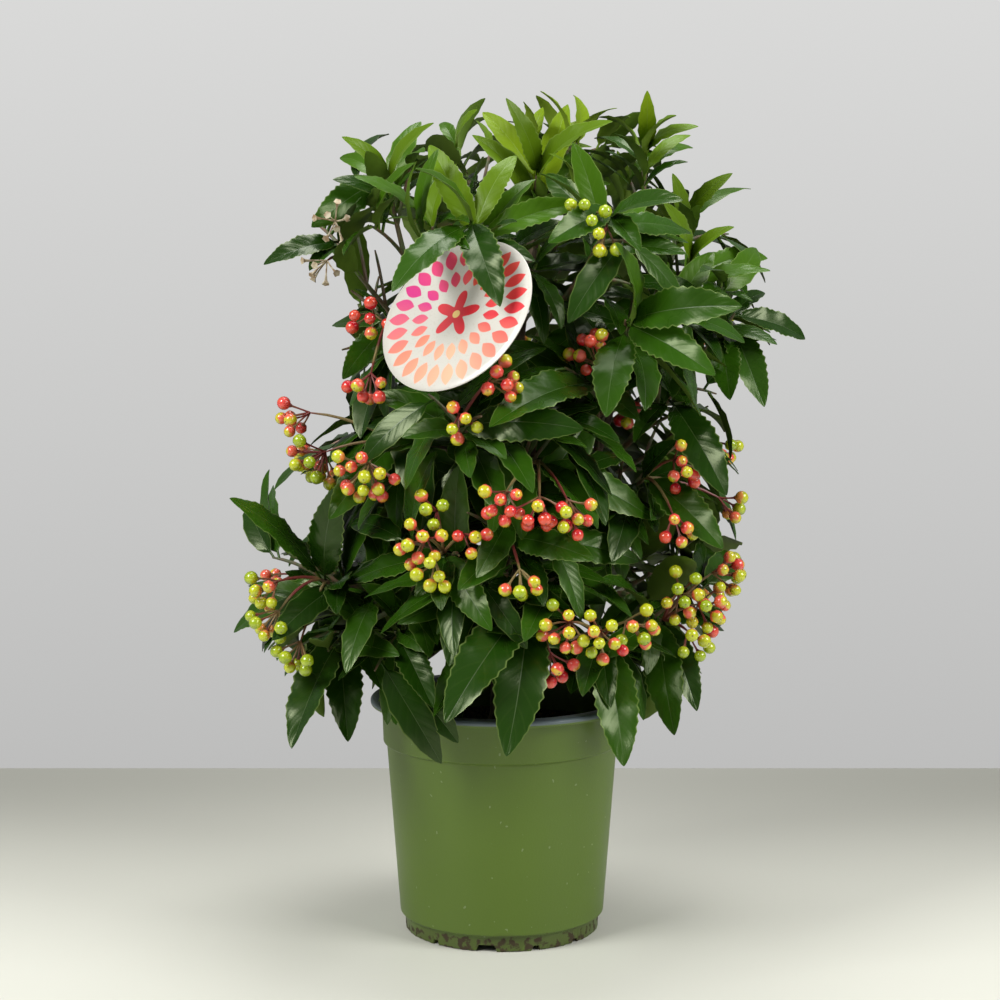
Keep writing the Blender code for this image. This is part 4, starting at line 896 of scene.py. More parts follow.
class Growth:
    """One mass of foliage while it grows: its stem, twigs, leaves and berries."""

    def __init__(self, mass, limb):
        self.mass = mass
        self.chance = random.Random(SEED * 1000 + sum(map(ord, mass.name)))
        self.end = mm(mass.end)
        self.length = LEAF_LENGTH + (YOUNG_LEAF_LENGTH - LEAF_LENGTH) * mass.young
        controls = stem_controls(limb, mass.along, self.end, STEM_RISE + YOUNG_RISE * mass.young)
        self.stem = clear_stem(controls, STEM_RADII, TWIG_SIDES, STEM_STEPS, tree_of(limb.shape()))
        self.twigs = []
        self.stalks = []
        self.leaves = []
        self.berries = []

    def is_clear(self, space, whole, outer):
        """Whether a shape of this mass may stand where it is."""
        return space.is_clear(self.mass.name, whole, outer)

    def leaf_to(self, root, tip, share, sections, facing):
        """A leaf from a point on a twig's axis to a tip, with its seeded arch and roll."""
        fresh = self.mass.young if tip.z > root.z else 0
        arch = self.chance.uniform(*LEAF_ARCH) + YOUNG_ARCHING * fresh
        roll = self.chance.uniform(-LEAF_ROLL, LEAF_ROLL)
        return Leaf(root, tip, arch, roll, share * (1 + YOUNG_WIDENING * fresh), sections, facing)

    def try_leaf(self, space, leaf, shifts):
        """Keeps a leaf at the first of some shifts of its tip where it is clear."""
        for shift in shifts:
            moved = leaf.moved(shift)
            if self.is_clear(space, moved.shape(TEST_MARGIN), moved.shape(TEST_MARGIN, TEST_START)):
                self.leaves.append(moved)
                space.add(self.mass.name, moved.shape())
                return True
        return False

    def grow_seen(self, space):
        """The leading leaves, each to its own tip, or a little nearer or farther in depth."""
        for index, offset in enumerate(self.mass.seen):
            root = self.stem.at(1 - (index + LEADING_PLACE) * LEAF_SPACING / self.stem.length)
            sections = LEADING_SECTIONS if mm(offset).length > FINE_LEAF_LENGTH else PLAIN_SECTIONS
            leaf = self.leaf_to(root, self.end + mm(offset), 1.0, sections, FRONT * SEEN_LEAN)
            self.try_leaf(space, leaf, [mm((0, depth, rise)) for depth, rise in LEADING_SHIFTS])

    def grow_umbels(self, space):
        """The bunches: a stalk from the stem to the hub, then its berries, each bunch as ripe as it is."""
        ripeness = RIPENESS.get(self.mass.name, BACK_RIPENESS)
        for (*middle, count), ripe in zip(self.mass.umbels, ripeness):
            umbel = self.umbel_to(space, mm(middle), count)
            if umbel:
                for centre in umbel.berries:
                    self.try_berry(space, umbel, centre, ripe)

    def umbel_to(self, space, middle, count):
        """The first bunch whose stalk is clear, from the nearest places on the stem and with more and more bow."""
        turn = self.chance.uniform(0, math.tau)
        roots = sorted((self.stem.at(place) for place in STALK_PLACES), key=lambda point: (point - middle).length)
        for bow in STALK_BOWS:
            for root in roots:
                umbel = Umbel(root, middle, count, turn, bow)
                stalk = umbel.stalk
                if self.is_clear(space, stalk.shape(TEST_MARGIN), stalk.shape(TEST_MARGIN, 1)):
                    space.add(self.mass.name, stalk.shape())
                    self.stalks.append(stalk)
                    return umbel
        return None

    def try_berry(self, space, umbel, centre, ripe):
        """Keeps a berry and its pedicel at the first of some shifts where they are clear."""
        for shift in BERRY_SHIFTS:
            moved = centre + mm(shift)
            pedicel = Stem((umbel.hub, moved), (PEDICEL_RADIUS, PEDICEL_RADIUS), TWIG_SIDES, 1)
            ball = ball_shape(moved, BERRY_RADIUS)
            if self.is_clear(space, joined(pedicel.shape(), ball), ball):
                self.berries.append((umbel.hub, moved, ripe))
                space.add(self.mass.name, joined(pedicel.shape(), ball))
                return

    def grow_twigs(self, space, start=TWIG_START):
        """One side twig by the seeded rule, kept where it is clear."""
        tangent = self.stem.way(start)
        root = self.stem.at(start)
        outward = Vector((root.x, root.y, 0)).normalized()
        first_turn = self.chance.uniform(0, math.tau)
        for attempt in range(TWIG_ATTEMPTS):
            turn = first_turn + attempt * GOLDEN_ANGLE
            heading = rule_direction(tangent, turn, TWIG_OPENING) + outward * TWIG_OUTWARD + UP * TWIG_UPWARD
            tip = root + heading.normalized() * TWIG_LENGTH
            bend = root.lerp(tip, 0.5) + UP * TWIG_BOW * TWIG_LENGTH
            twig = Stem((root, bend, tip), TWIG_RADII, TWIG_SIDES, 2)
            if inside_crown(tip) and self.is_clear(space, twig.shape(TEST_MARGIN), twig.shape(TEST_MARGIN, 1)):
                self.twigs.append(twig)
                space.add(self.mass.name, twig.shape())
                return

    def grow_leaves(self, space):
        """The other leaves, by golden angle round each tip, old ones open and young ones steep."""
        led = len(self.mass.seen)
        self.whorl(space, self.stem, max(TIP_LEAVES - led // 2, FEWEST_LEAVES), self.length, led)
        for twig in self.twigs:
            self.whorl(space, twig, TWIG_LEAVES, TWIG_LEAF_SHARE * self.length, 0)

    def whorl(self, space, stem, count, length, first):
        """Leaves round the end of a stem or twig, after the first few places."""
        axis = stem.way(1)
        phase = self.chance.uniform(0, math.tau)
        young = self.mass.young
        for index in range(count):
            share = (index + 0.5) / count
            place = 1 - (first + count - 1 - index + RULE_PLACE) * LEAF_SPACING / stem.length
            root = stem.at(max(place, LOWEST_PLACE))
            facing = Vector((root.x, root.y, 0)).normalized() * LEAF_LEAN
            opening = OPENING_WIDE - OPENING_FALL * share - OPENING_YOUNG * young
            droop = DROOP * (1 - DROOP_YOUNG * young) * (1 - DROOP_FALL * share)
            for attempt in range(LEAF_ATTEMPTS):
                turn = phase + GOLDEN_ANGLE * (index + ATTEMPT_TURN * attempt)
                heading = (rule_direction(axis, turn, opening) - UP * droop).normalized()
                tip = root + heading * length * (LENGTH_LOW - LENGTH_FALL * share)
                leaf = self.leaf_to(root, tip, self.chance.uniform(*WIDTH_RANGE), PLAIN_SECTIONS, facing)
                if not inside_crown(tip) or leaf.blocks_view():
                    continue
                if self.try_leaf(space, leaf, [mm((0, 0, rise)) for rise in RULE_RISES]):
                    break


# %% [markdown]
# ## Letting it grow
#
# The trunk comes first, then its boughs, then a stem for each mass. The leaves that
# show come next, and all others find what room is left. The solids of the CAD model
# stop there. Here the same rule goes on: more side twigs on each stem, and short
# shoots on the inner boughs, so that the middle of the bush is as full as a real one.

# %% Grow the whole plant
RIPENESS = {
    "front_upper_right": (0.05, 0.05), "left_mid": (0.80, 0.75), "centre_high": (0.62, 0.50),
    "left_mid_low": (0.62, 0.30, 0.52), "centre_dark": (0.95,), "centre_mid": (0.62, 0.80, 0.72, 0.45),
    "left_low": (0.18, 0.12, 0.12), "centre_front": (0.25, 0.38, 0.25, 0.60), "low_front": (0.82,),
    "low_right_front": (0.42, 0.46, 0.32), "low_right": (0.32, 0.36, 0.38, 0.27), "right_mid": (0.85,),
    "right_low_mid": (0.66, 0.70, 0.25), "centre_low": (0.20,),
}
FINER_STARTS = (0.34, 0.80)
FINER_LEAVES = 4
SHOOT_PLACES = (0.22, 0.36, 0.50, 0.64, 0.78, 0.90)
SHOOT_REACH = 0.036
TRUNK_SHOOTS = (0.25, 0.42, 0.58, 0.74, 0.90)


def grow_limbs(space):
    """The trunk and boughs, each clear of its parent."""
    radii = [radius * MM for radius in TRUNK_RADII]
    limbs = {"trunk": Stem([mm(point) for point in TRUNK_POINTS], radii, TRUNK_SIDES, TRUNK_STEPS, 0.0,
                          FLARE_WIDENING)}
    for limb in LIMBS:
        parent = limbs[limb.parent]
        controls = [parent.at(limb.along)] + [mm(point) for point in limb.points]
        if limb.along >= 1:
            controls[1] = controls[0] + parent.way(1) * (controls[2] - controls[0]).length / 3
        radii = [radius * MM for radius in limb.radii]
        limbs[limb.name] = clear_stem(controls, radii, BOUGH_SIDES, BOUGH_STEPS, tree_of(parent.shape()))
    for name, stem in limbs.items():
        space.add(name, stem.shape())
    return limbs


def solid_shape(name):
    """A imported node's points and faces."""
    mesh = frame["nodes"][name].data
    return [vertex.co.copy() for vertex in mesh.vertices], [tuple(face.vertices) for face in mesh.polygons]


def inner_shoots(limbs, space):
    """Short shoots on the boughs and the trunk, by the same rule as the masses."""
    shoots = []
    chance = random.Random(SEED)
    for name, limb in limbs.items():
        for index, along in enumerate(TRUNK_SHOOTS if name == "trunk" else SHOOT_PLACES):
            root = limb.at(along)
            turn = chance.uniform(0, math.tau)
            for attempt in range(6):
                heading = rule_direction(limb.way(along), turn + attempt * GOLDEN_ANGLE, math.radians(65))
                end = root + (heading + UP * 0.15).normalized() * SHOOT_REACH
                mass = Mass("%s_shoot_%d" % (name, index), name, along, tuple(end / MM), 0.0, (), ())
                shoot = Growth(mass, limb)
                shape = shoot.stem.shape(TEST_MARGIN)
                if inside_crown(end) and shoot.is_clear(space, shape, shape):
                    space.add(mass.name, shoot.stem.shape())
                    shoots.append(shoot)
                    break
    return shoots


space = Space()
limbs = grow_limbs(space)
space.add("pot", solid_shape("pot"))
space.add("soil", solid_shape("soil"))
growths = [Growth(mass, limbs[mass.limb]) for mass in MASSES]
for growth in growths:
    space.add(growth.mass.name, growth.stem.shape())
space.add("tag", solid_shape("tag"))
for grow in (Growth.grow_seen, Growth.grow_umbels, Growth.grow_twigs, Growth.grow_leaves):
    for growth in growths:
        grow(growth, space)
print("as the solids: leaves", sum(len(growth.leaves) for growth in growths))
for start in FINER_STARTS:
    for growth in growths:
        twigs = len(growth.twigs)
        growth.grow_twigs(space, start)
        for twig in growth.twigs[twigs:]:
            growth.whorl(space, twig, FINER_LEAVES, 0.9 * growth.length, 0)
shoots = inner_shoots(limbs, space)
for shoot in shoots:
    shoot.whorl(space, shoot.stem, 5, shoot.length, 0)
for growth in growths:
    growth.whorl(space, growth.stem, 3, 0.9 * growth.length, TIP_LEAVES + 2)
growths += shoots
for growth in growths:
    wanted = sum(umbel[3] for umbel in growth.mass.umbels)
    if len(growth.berries) < wanted:
        print("%s has %d of %d berries" % (growth.mass.name, len(growth.berries), wanted))
print("carried on: leaves", sum(len(growth.leaves) for growth in growths),
      "twigs", sum(len(growth.twigs) for growth in growths),
      "berries", sum(len(growth.berries) for growth in growths))

# %% [markdown]
# ## Leaves
#
# A leaf of this shrub is a pointed oval with a pale midrib, a folded and slightly
# cupped blade and a waved, scalloped margin. A flat card with a picture would do from
# afar, but turns to paper close by. So each leaf is a thin closed solid of a few dozen
# faces: six points across its upper side, the two middle ones beside the midrib, and one
# more for the rib below.

# %% The blade's formula
BLADE_COLUMNS = np.array((-1.0, -0.58, -0.021, 0.021, 0.58, 1.0))
BLADE_KINDS = (0, 0, 2, 0, 0, 1, 1)
PETIOLE_SHARE = 0.09
PETIOLE_RADIUS = 0.0007
RIB_DEPTH = 0.0010
LEAD_ROWS = 33
PLAIN_ROWS = 13
WIDEST_LEFT = 0.62
WIDEST_RIGHT = 0.80
BLADE_WIDENING = 0.89
SCALLOP = 0.060
MARGIN_WAVE = 0.07
MARGIN_WAVES = 3.5


def blade_shares(rows):
    """Where a blade's rows lie: its foot, then past the stalk (t + (1 - cos(pi t)) / 2) / 2."""
    even = np.linspace(0, 1, rows - 1)
    share = 0.5 * even + 0.25 * (1 - np.cos(math.pi * even))
    return np.concatenate(([0], PETIOLE_SHARE + (1 - PETIOLE_SHARE) * share))


def blade_points(controls, across, widths, fold, phases, rows):
    """Points of many blades, (leaves, rows, 7, 3).

    Along the midrib, a Bezier curve, the half width is W / 2 times s^a (1 - s)^b over its
    largest value, where s is the share past the stalk. Each half rises from the midrib by the
    fold and sinks again with the square of the distance from it. The margin waves up and down
    as a cosine and in and out by turns. The seventh point of a row is the rib below.
    """
    along = blade_shares(rows)
    centre = bezier_points(controls, along[None])
    way = unit(np.gradient(centre, axis=1))
    share = np.clip((along - PETIOLE_SHARE) / (1 - PETIOLE_SHARE), 0, 1)
    peak = WIDEST_LEFT / (WIDEST_LEFT + WIDEST_RIGHT)
    bulge = share ** WIDEST_LEFT * (1 - share) ** WIDEST_RIGHT
    bulge /= peak ** WIDEST_LEFT * (1 - peak) ** WIDEST_RIGHT
    half = widths[:, None] / 2 * bulge[None] + PETIOLE_RADIUS * (1 - 0.6 * share)[None]
    twist = 0.35 * np.sin(phases * 3)[:, None] * share[None]
    side = unit(across[:, None] - way * (across[:, None] * way).sum(axis=-1, keepdims=True))
    over = np.cross(side, way)
    turned = side * np.cos(twist)[..., None] + over * np.sin(twist)[..., None]
    raised = np.cross(turned, way)
    column = BLADE_COLUMNS[None, None]
    stalk = np.clip(1 - share / 0.12, 0, 1)[None, :, None]
    scallop = 1 + SCALLOP * bulge * np.where(np.arange(rows) % 2, 1, -1)
    wide = column * half[..., None] * np.where(np.abs(column) == 1, scallop[None, :, None], 1)
    wave = np.cos(math.tau * MARGIN_WAVES * share[None, :, None] + phases[:, None, None] + 1.9 * np.sign(column))
    high = half[..., None] * (fold[:, None, None] * np.abs(column) - 0.30 * column ** 2)
    high = high + MARGIN_WAVE * half[..., None] * column ** 2 * wave * (1 - stalk)
    high = high + PETIOLE_RADIUS * (1 - column ** 2) * stalk
    top = centre[:, :, None] + turned[:, :, None] * wide[..., None] + raised[:, :, None] * high[..., None]
    rib = centre - raised * (RIB_DEPTH * (1 - 0.7 * share))[None, :, None]
    return np.concatenate((top, rib[:, :, None]), axis=2)


def blade_parts(leaves, rows):
    """Points, faces, kinds of face and places on the blade for a list of leaves of one make."""
    frames = [leaf.frame() for leaf in leaves]
    controls = np.array([[tuple(point) for point in midrib] for midrib, _ in frames])
    across = np.array([tuple(side) for _, side in frames])
    length = np.linalg.norm(controls[:, 2] - controls[:, 0], axis=1)
    phases = np.array([(leaf.tip.x * 733 + leaf.tip.z * 911) % math.tau for leaf in leaves])
    widths = LEAF_WIDTH_SHARE * BLADE_WIDENING * np.array([leaf.share for leaf in leaves]) * length
    fold = 0.46 + 0.18 * np.sin(phases * 5)
    points = blade_points(controls, across, widths, fold, phases, rows)
    count = len(leaves)
    sides = len(BLADE_KINDS)
    faces = [repeated(face_set, count, rows * sides) for face_set in tube_faces(rows, sides)]
    kinds = np.concatenate((np.tile(BLADE_KINDS, (rows - 1) * count), np.zeros(2 * count)))
    place = np.zeros((count, rows, sides, 2))
    place[..., 0] = np.append((BLADE_COLUMNS + 1) / 2, 0.5)
    place[..., 1] = blade_shares(rows)[None, :, None]
    return points.reshape(-1, 3), faces, kinds, place.reshape(-1, 2)


def merged(parts):
    """Several parts in one: their points, faces, kinds of face and places."""
    points, sets, kinds, places, start = [], [], [], [], 0
    for part_points, part_faces, part_kinds, part_places in parts:
        points.append(part_points)
        sets += [faces + start for faces in part_faces]
        kinds.append(part_kinds)
        places.append(part_places)
        start += len(part_points)
    return np.concatenate(points), sets, np.concatenate(kinds), np.concatenate(places)


# %% Leaf finishes
# Each tint's colour, roughness and specular level
LEAF_TINTS = {
    "deep": ((0.009, 0.034, 0.0016), 0.25, 0.38),
    "dark": ((0.018, 0.060, 0.0022), 0.26, 0.34),
    "mid": ((0.039, 0.102, 0.0030), 0.30, 0.24),
    "fresh": ((0.084, 0.155, 0.0042), 0.36, 0.19),
    "lime": ((0.150, 0.235, 0.0060), 0.40, 0.14),
}
RIB_COLOUR = (0.25, 0.34, 0.09)
UNDER_COLOUR = (0.17, 0.25, 0.03)
SHEEN = (0.90, 1.0, 0.62)


def blend(first, second, share):
    """A colour between two others."""
    return tuple(start + (end - start) * share for start, end in zip(first, second))


def leaf_finish(name, colour, roughness, shine):
    """The upper side: softly quilted between its veins, with a pale edge."""
    finish = Finish(name, colour, roughness, Specular_Tint=SHEEN, Specular_IOR_Level=shine)
    across, along = finish.along()
    side = (across - 0.5).absolute() * 2
    cloud = finish.noise(26, 1.0)
    vein = ((along * 8.5 - side * 1.6 + cloud * 0.8) * math.tau).sine()
    pale = blend(colour, RIB_COLOUR, 0.45)
    body = finish.mix(cloud, tuple(0.65 * value for value in colour), tuple(1.40 * value for value in colour))
    body = finish.mix(vein.step(0.75, 1.0) * 0.03, body, pale)
    finish.feed("Base Color", finish.mix(side.step(0.91, 0.98) * 0.75, body, pale))
    finish.feed("Roughness", finish.noise(60, 2.0) * 0.14 + (roughness - 0.07))
    finish.bump(cloud + finish.noise(300, 2.0) * 0.15 - vein.step(-0.4, 1.0) * 0.15, 0.0004, 0.6)
    return finish.material


def rib_finish(name, colour):
    """The midrib: a paler line, its tone drifting in clouds."""
    pale = blend(colour, RIB_COLOUR, 0.09)
    finish = Finish(name, pale, 0.4)
    finish.feed("Base Color", finish.mix(finish.noise(40, 1.0), tuple(0.75 * value for value in pale),
                                         tuple(1.2 * value for value in pale)))
    return finish.material


def underside_finish(name, colour):
    """The under side: paler and matter."""
    dull = blend(colour, UNDER_COLOUR, 0.35)
    finish = Finish(name, dull, 0.55, Specular_Tint=SHEEN)
    finish.feed("Base Color", finish.mix(finish.noise(30, 1.0), tuple(0.8 * value for value in dull),
                                         tuple(1.25 * value for value in dull)))
    finish.bump(finish.noise(400, 2.0), 0.0002, 0.4)
    return finish.material


# %% Deal the leaves out by tint, and make them
def tint_of(growth, leaf):
    """A leaf's tint: lime where a young one rises from the top, darker where it is old, hangs or lies far back."""
    rise = (leaf.tip.z - growth.end.z) / (leaf.tip - leaf.root).length
    fresh = growth.mass.young * (0.42 + 1.1 * max(rise, -0.2)) + 2.5 * max(leaf.tip.z - 0.39, 0)
    fresh += 0.24 * math.sin(leaf.tip.x * 3000 + leaf.tip.z * 5000) - 0.06 - 5 * max(leaf.tip.y - 0.01, 0)
    if fresh > 1.0:
        return "lime"
    if fresh > 0.68:
        return "fresh"
    if fresh > 0.30:
        return "mid"
    return "dark" if (leaf.tip.x * 5000 + leaf.tip.z * 7000) % 3 > 1 else "deep"


dealt = {tint: ([], []) for tint in LEAF_TINTS}
for growth in growths:
    for index, leaf in enumerate(growth.leaves):
        dealt[tint_of(growth, leaf)][0 if leaf.sections == LEADING_SECTIONS else 1].append(leaf)
for tint, (colour, roughness, shine) in LEAF_TINTS.items():
    leads, plain = dealt[tint]
    parts = [blade_parts(leaves, rows) for leaves, rows in ((leads, LEAD_ROWS), (plain, PLAIN_ROWS)) if leaves]
    points, sets, kinds, places = merged(parts)
    finishes = [leaf_finish("leaf_" + tint, colour, roughness, shine), underside_finish("under_" + tint, colour),
                rib_finish("rib_" + tint, colour)]
    make_piece("leaves_" + tint, points, sets, finishes, kinds, places, 70)
young = [mass.name for mass in MASSES if mass.young > 0.5]
grown = [mass.name for mass in MASSES if mass.young <= 0.5]
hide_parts(*young)
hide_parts(*grown)

# %% [markdown]
# ## Twigs, stalks and berries
#
# Twigs are thin tubes along their curves. A berry is a tube too, whose radius follows a
# half circle, so that the same formula makes both. Its stalk widens into the little
# calyx that holds it. Berries ripen from green through yellow and coral to red, each
# bunch at its own pace, so they are dealt out into five tints.

# %% Tubes along Bezier curves
def stem_parts(stems, rows, sides):
    """Points, faces, kinds and places of tapering tubes along curves that have as many control points each."""
    controls = np.array([[tuple(point) for point in stem.controls] for stem in stems])
    starts = np.array([stem.start for stem in stems])[:, None]
    shares = starts + (1 - starts) * np.linspace(0, 1, rows)[None]
    paths = bezier_points(controls, shares)
    ends = np.array([stem.radii for stem in stems])
    radii = ends[:, :1] + (ends[:, 1:] - ends[:, :1]) * shares
    radii[:, -1] *= 0.6
    return tube_parts(paths, radii, sides)


def tube_parts(paths, radii, sides):
    """Points, faces, kinds and places of closed tubes round paths (n, rows, 3)."""
    count, rows = radii.shape
    points = tube_points(paths, radii, sides)
    faces = [repeated(face_set, count, rows * sides) for face_set in tube_faces(rows, sides)]
    place = np.zeros((count, rows, sides, 2))
    place[..., 0] = np.arange(sides)[None, None] / sides
    place[..., 1] = np.linspace(0, 1, rows)[None, :, None]
    return points.reshape(-1, 3), faces, np.zeros(count * ((rows - 1) * sides + 2)), place.reshape(-1, 2)


def twig_finish():
    """Green bark that turns brown in streaks."""
    finish = Finish("twig_bark", (0.10, 0.10, 0.035), 0.55)
    streak = finish.noise(1.0, 3.0, finish.stretched(finish.place(), (260, 260, 60)))
    finish.feed("Base Color", finish.mix(streak.step(0.35, 0.65), (0.055, 0.085, 0.022), (0.13, 0.075, 0.040)))
    finish.bump(streak, 0.0003, 0.6)
    return finish.material


def stalk_finish():
    """Maroon fruit stalks, greener in patches."""
    finish = Finish("fruit_stalk", (0.16, 0.030, 0.022), 0.5)
    cloud = finish.noise(45, 1.0)
    finish.feed("Base Color", finish.mix(cloud.step(0.40, 0.62), (0.17, 0.026, 0.022), (0.20, 0.15, 0.05)))
    finish.bump(finish.noise(900, 2.0), 0.0002, 0.4)
    return finish.material


twig_stems = [growth.stem for growth in growths]
side_twigs = [twig for growth in growths for twig in growth.twigs]
points, sets, kinds, places = merged([stem_parts(twig_stems, 10, 7), stem_parts(side_twigs, 6, 6)])
make_piece("twigs", points, sets, [twig_finish()], kinds, places)

# %% Berries and their stalks
BERRY_TINTS = {
    "green": (0.18, (0.300, 0.400, 0.008), (0.42, 0.50, 0.014), 0.60),
    "yellow": (0.40, (0.480, 0.520, 0.012), (0.66, 0.24, 0.050), 0.72),
    "blush": (0.62, (0.540, 0.500, 0.014), (0.74, 0.115, 0.065), 0.52),
    "coral": (0.82, (0.640, 0.400, 0.022), (0.72, 0.066, 0.050), 0.34),
    "red": (9.0, (0.680, 0.070, 0.035), (0.56, 0.012, 0.022), 0.60),
}
BUNCH_SPREAD = 0.18
BERRY_ROWS = 8
BERRY_SIDES = 8
# A pedicel's radii at shares of its length: one that holds a berry, and one whose calyx stands open
PEDICEL_SHARES = np.array((0.0, 0.3, 0.6, 0.88, 1.0))
FRUIT_PEDICEL = (0.00062, 0.00050, 0.00048, 0.00060, 0.0013)
SPENT_PEDICEL = (0.00050, 0.00042, 0.00042, 0.00090, 0.0021)
# Bunches whose berries have dropped: their mass, and their middles in mm with how many calyxes stay
SPENT_MASS = "left_outer"
SPENT_BUNCHES = ((-86, -38, 374, 7), (-93, -36, 349, 6))


def berry_finish(name, colour, cheek, paleness):
    """A glossy skin with a cheek of another colour, smaller with more paleness, and a dark point at its end."""
    finish = Finish(name, colour, 0.25, Coat_Weight=0.7, Coat_Roughness=0.04)
    round_it, along = finish.along()
    cloud = finish.noise(160, 1.0)
    side = 1.1 - along * 0.9 + (cloud - 0.5) * 1.4
    body = finish.mix(side.step(paleness - 0.10, paleness + 0.12), colour, cheek)
    speck = along.step(0.97, 0.995)
    finish.feed("Base Color", finish.mix(speck * 0.7, body, (0.06, 0.03, 0.02)))
    finish.feed("Roughness", cloud * 0.12 + 0.20)
    return finish.material


def spent_finish():
    """Dry straw-coloured calyxes, browner in spots."""
    finish = Finish("spent_calyx", (0.42, 0.36, 0.24), 0.7)
    cloud = finish.noise(300, 2.0)
    finish.feed("Base Color", finish.mix(cloud.step(0.35, 0.65), (0.26, 0.17, 0.09), (0.50, 0.44, 0.31)))
    return finish.material


def pedicel_parts(hubs, feet, radii):
    """Points, faces, kinds and places of slightly bowed tubes from hubs to feet (n, 3) with the same radii."""
    bend = np.array((0, 0, 0.0012)) * np.sin(feet[:, :1] * 7000)
    paths = bezier_points(np.stack((hubs, (hubs + feet) / 2 + bend, feet), axis=1), PEDICEL_SHARES[None])
    return tube_parts(paths, np.repeat(np.array(radii)[None], len(paths), axis=0), 5)


def spent_bunches():
    """The hubs and tips of the pedicels whose berries have dropped, on stalks by the same rule."""
    bearer = next(growth for growth in growths if growth.mass.name == SPENT_MASS)
    pairs = []
    for *middle, count in SPENT_BUNCHES:
        umbel = bearer.umbel_to(space, mm(middle), count)
        if umbel:
            pairs += [(tuple(umbel.hub), tuple(tip)) for tip in umbel.berries]
    print("spent calyxes:", len(pairs))
    pairs = np.array(pairs)
    return pairs[:, 0], pairs[:, 1]


def berry_tint(ripe):
    """The name of the tint for a ripeness from 0 to 1."""
    return next(name for name, row in BERRY_TINTS.items() if ripe < row[0])


chance = random.Random(SEED)
bunches = {tint: [] for tint in BERRY_TINTS}
for growth in growths:
    for hub, middle, ripe in growth.berries:
        bunches[berry_tint(ripe + chance.gauss(0, BUNCH_SPREAD))].append((hub, middle))
polar = np.linspace(0.07 * math.pi, 0.97 * math.pi, BERRY_ROWS)
pedicels = []
for tint, (limit, colour, cheek, paleness) in BERRY_TINTS.items():
    hubs = np.array([tuple(hub) for hub, middle in bunches[tint]])
    middles = np.array([tuple(middle) for hub, middle in bunches[tint]])
    ways = unit(middles - hubs)
    sizes = BERRY_RADIUS * (0.88 + 0.07 * np.sin(middles[:, 0] * 9000))
    paths = middles[:, None] - ways[:, None] * (sizes[:, None] * np.cos(polar)[None])[..., None]
    radii = sizes[:, None] * np.sin(polar)[None]
    points, sets, kinds, places = tube_parts(paths, radii, BERRY_SIDES)
    finish = berry_finish("berry_" + tint, colour, cheek, paleness)
    piece = make_piece("berries_" + tint, points, sets, [finish], kinds, places, 80)
    pedicels.append((hubs, middles - ways * sizes[:, None] * 0.93))
hubs, feet = (np.concatenate(group) for group in zip(*pedicels))
spent_hubs, spent_feet = spent_bunches()
stalk_parts = stem_parts([stalk for growth in growths for stalk in growth.stalks], 6, 6)
points, sets, kinds, places = merged([stalk_parts, pedicel_parts(hubs, feet, FRUIT_PEDICEL)])
make_piece("fruit_stalks", points, sets, [stalk_finish()], kinds, places)
points, sets, kinds, places = pedicel_parts(spent_hubs, spent_feet, SPENT_PEDICEL)
make_piece("spent_calyxes", points, sets, [spent_finish()], kinds, places)

# %% [markdown]
# ## Trunk and boughs
#
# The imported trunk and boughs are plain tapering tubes. On the real shrub their bark has
# shallow cracks along it and a ring wherever an old leaf has dropped. A fine tube on the
# same curve, whose radius carries those ridges, takes their place.

# %% Bark with relief
def limb_parts(stem, sides, pitch=0.0013):
    """One limb: a tube on the limb's curve, radius times 1 + cracks along it + rings where leaves were."""
    rows = max(int(stem.length / pitch), 12)
    controls = np.array([[tuple(point) for point in stem.controls]])
    shares = stem.start + (1 - stem.start) * np.linspace(0, 1, rows)
    path = bezier_points(controls, shares[None])
    radius = stem.radii[0] + (stem.radii[1] - stem.radii[0]) * shares
    run = np.linspace(0, stem.length, rows)
    radius *= 1 + stem.flare * np.exp(-run / FLARE_HEIGHT)
    radius[-1] *= 0.5
    smooth = tube_points(path, radius[None], sides)[0]
    angle = (math.tau * np.arange(sides) / sides)[None]
    run = run[:, None]
    relief = 0.035 * np.sin(5 * angle + 2.5 * np.sin(run * 130)) + 0.025 * np.sin(11 * angle - run * 420)
    relief += 0.06 * np.exp(-((run + 0.0006 * np.sin(angle)) % 0.0125 - 0.006) ** 2 / 0.0008 ** 2)
    centre = path[0][:, None]
    points = centre + (smooth - centre) * (0.97 + relief[..., None])
    place = np.zeros((rows, sides, 2))
    place[..., 0] = np.arange(sides)[None] / sides
    place[..., 1] = run / stem.length
    return points.reshape(-1, 3), tube_faces(rows, sides), np.zeros((rows - 1) * sides + 2), place.reshape(-1, 2)


def bark_finish():
    """Thin grey-brown bark with dark cracks along it and a few pale corky dots."""
    finish = Finish("bark", (0.12, 0.08, 0.045), 0.8)
    place = finish.place()
    crack = finish.noise(1.0, 6.0, finish.stretched(place, (620, 620, 120)))
    cloud = finish.noise(90, 3.0)
    dots = finish.noise(700, 1.0).step(0.66, 0.74)
    body = finish.mix(cloud.step(0.3, 0.7), (0.085, 0.058, 0.035), (0.17, 0.125, 0.075))
    body = finish.mix((1 - crack.step(0.32, 0.5)) * 0.7, body, (0.03, 0.02, 0.012))
    finish.feed("Base Color", finish.mix(dots * 0.5, body, (0.30, 0.25, 0.18)))
    finish.bump(crack + cloud * 0.5, 0.0005, 0.8)
    return finish.material


points, sets, kinds, places = merged([limb_parts(stem, 32 if name == "trunk" else 22)
                                      for name, stem in limbs.items()])
bark = make_piece("bark_relief", points, sets, [bark_finish()], kinds, places)
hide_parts(*limbs)

# %% [markdown]
# ## The nursery pot
#
# A grower's pot is thin moulded plastic: a flared lip, a collar band, a tapering wall
# and a foot ring with drain notches. It is a profile turned round an axis, and only the
# notches break the turn: there the foot's lower edge is lifted.

